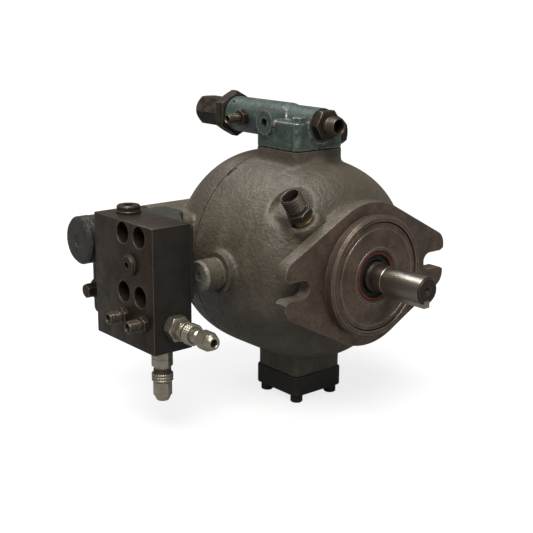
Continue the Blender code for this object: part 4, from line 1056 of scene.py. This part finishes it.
def side_branch():
    """Port adapter behind the manifold, and the capped inlet branch behind both."""
    adapter = plate("adapter", ADAPTER_OUTLINE, 63, (0, 0, -18), ALONG_Z, 2.0)
    foot = slab("foot", (ADAPTER_LEFT, 140, -28), (ADAPTER_RIGHT, 171, -2.5), 4)
    body = cast("port_adapter_casting", [adapter, foot], 1.1, 4)
    tools = [slab("trim", (ADAPTER_LEFT, 60, -40), (-160, 190, 60)),
             slab("trim", (ADAPTER_RIGHT, 60, -40), (-60, 190, 60)),
             rod("bore", 6.5, 121, 140, (0, *SIDE_PLUG), -ALONG_X, sides=36)]
    tools += [rod("thread", 4.3, -5, 9.5, (ADAPTER_LEFT, y, z), ALONG_X, sides=24)
              for y, z in SCREW_GRID]
    for tool in tools:
        carve(body, tool)
    show(body, "adapter_paint", nodes=["port_adapter"])
    y, z = INLET
    plug_port = (0, y, BRANCH_PLUG_LEVEL)
    tube = rod("tube", INLET_RADIUS - 0.4, 100 + GAP - 3, 158.7, (0, y, z), -ALONG_X)
    web = slab("web", (-151, y - 9, -48), (-134, y + 9, z), 5)
    boss = rod("boss", 8.5, 136, 154, plug_port, -ALONG_X)
    branch = cast("inlet_adapter_casting", [tube, web, boss], 1.1, 5)
    tools = [slab("trim", (-100.3, 140, -60), (-80, 220, 60)),
             slab("trim", (-170, 140, -1), (-155.7, 220, 60)),
             slab("trim", (-170, 140, -60), (-152.5, 220, -1.2)),
             rod("bore", INLET_BORE, 90, 170, (0, y, z), -ALONG_X),
             rod("cross", 9, 0, 40, (-145, y, z - 9), -ALONG_Y),
             rod("hole", 3.6, 140, 160, plug_port, -ALONG_X, sides=24)]
    for tool in tools:
        carve(branch, tool)
    show(branch, "adapter_paint", nodes=["inlet_adapter"])
    edge = INLET_RADIUS
    profile = [(0, 142), (INLET_BORE - GAP, 142), (INLET_BORE - GAP, 156), (edge - 0.4, 156),
               (edge, 156.4), (edge, 160), (edge - 0.6, 160.6), (edge - 0.6, 161.4), (edge, 162),
               (edge, 165.4), (edge - 2, 167.4), (17, 168), (6, 168), (5, 167.2), (0, 167.2)]
    cap = turned("inlet_cap_turned", profile, (0, y, z), -ALONG_X)
    show(cap, "adapter_paint", nodes=["inlet_cap"])
    plug = hexagon("plug", 11, 152.8, 162, plug_port, -ALONG_X)
    stem = rod("stem", 3.3, 143, 154, plug_port, -ALONG_X, sides=36)
    show(unite("branch_plug_turned", [plug, stem]), "dark_steel", nodes=["branch_plug"])


def inner_pieces():
    """Finishes for the CAD solids that stay inside, and the springs that the CAD leaves out."""
    slots = {part["node"]: part["material_slot"] for part in frame["record"]["subparts"]}
    for name, node in frame["nodes"].items():
        if not node.hide_render:
            node.data.materials.clear()
            node.data.materials.append(FINISHES[slots[name]])
    bias = coil("bias_spring", 9.2, 1.3, 84, 158, 9, (0, 0, -64))
    show(bias, "dark_steel")
    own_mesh(bias)
    valve = coil("compensator_spring", 8.6, 1.2, 128, 160, 6, (0, 0, VALVE_LEVEL))
    show(valve, "dark_steel")
    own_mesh(valve)


# ---- studio

def area_light(name, at, aim, size, power):
    """A square soft light that points at a target, both in metres."""
    light = bpy.data.lights.new(name, "AREA")
    light.shape = "SQUARE"
    light.size = size
    light.energy = power
    obj = add(name, light)
    obj.location = at
    obj.rotation_euler = (Vector(aim) - Vector(at)).to_track_quat("-Z", "Y").to_euler()


def when_seen(tree, socket, seen, otherwise):
    """Feed a strength with one value for what is looked at directly and another for the light it gives."""
    path = tree.nodes.new("ShaderNodeLightPath")
    strength = tree.nodes.new("ShaderNodeMapRange")
    strength.inputs["To Min"].default_value = otherwise
    strength.inputs["To Max"].default_value = seen
    tree.links.new(path.outputs["Is Camera Ray"], strength.inputs["Value"])
    tree.links.new(strength.outputs["Result"], socket)


def floor_finish():
    """White paper that glows a little, so that shadows on it stay faint."""
    pale = Finish("pale_floor", (FLOOR_TONE, FLOOR_TONE, FLOOR_TONE), 0.0, 0.9)
    pale.shader.inputs["Emission Color"].default_value = (1, 1, 1, 1)
    when_seen(pale.tree, pale.shader.inputs["Emission Strength"], FLOOR_GLOW, FLOOR_BOUNCE)
    return pale.done(Specular_IOR_Level=0.0)


def studio():
    """Pale floor, soft lights and the camera."""
    scene = bpy.context.scene
    work = bmesh.new()
    bmesh.ops.create_circle(work, cap_ends=True, radius=60, segments=96)
    floor = solid("floor", work)
    floor.location.z = CAD_BOX[0][2]
    floor.data.materials.append(floor_finish())
    world = bpy.data.worlds.new("studio")
    world.use_nodes = True
    sky = world.node_tree.nodes["Background"]
    sky.inputs["Color"].default_value = (1, 1, 1, 1)
    when_seen(world.node_tree, sky.inputs["Strength"], 1.0, AMBIENT)
    scene.world = world
    middle = spot(-10, 90, 0)
    sun = bpy.data.lights.new("key", "SUN")
    sun.energy = KEY
    sun.angle = math.radians(40)
    sun.color = (1, 0.985, 0.96)
    key = add("key", sun)
    key.rotation_euler = Vector(KEY_WAY).to_track_quat("-Z", "Y").to_euler()
    area_light("fill", middle + Vector((0.7, -0.9, 0.5)), middle, 0.8, 0.6)
    area_light("rim", middle + Vector((-0.1, 0.5, 1.0)), middle, 0.5, 5)
    camera = add("camera", bpy.data.cameras.new("camera"))
    camera.data.lens = LENS
    camera.data.sensor_width = 36.0
    camera.data.clip_end = 200
    right = Vector(CAMERA_RIGHT).normalized()
    back = Vector(CAMERA_BACK).normalized()
    up = back.cross(right)
    turn = Matrix((right, up, back)).transposed().to_4x4()
    camera.matrix_world = Matrix.Translation(spot(*CAMERA_PLACE)) @ turn
    scene.camera = camera
    scene.view_settings.view_transform = "Standard"
    scene.view_settings.look = "None"


FINISHES = build_finishes()
pump_housing()
rear_cover()
cover_gasket()
front_pieces()
shaft_group()
drain_fitting()
compensator()
bottom_cover()
manifold()
side_branch()
inner_pieces()
studio()
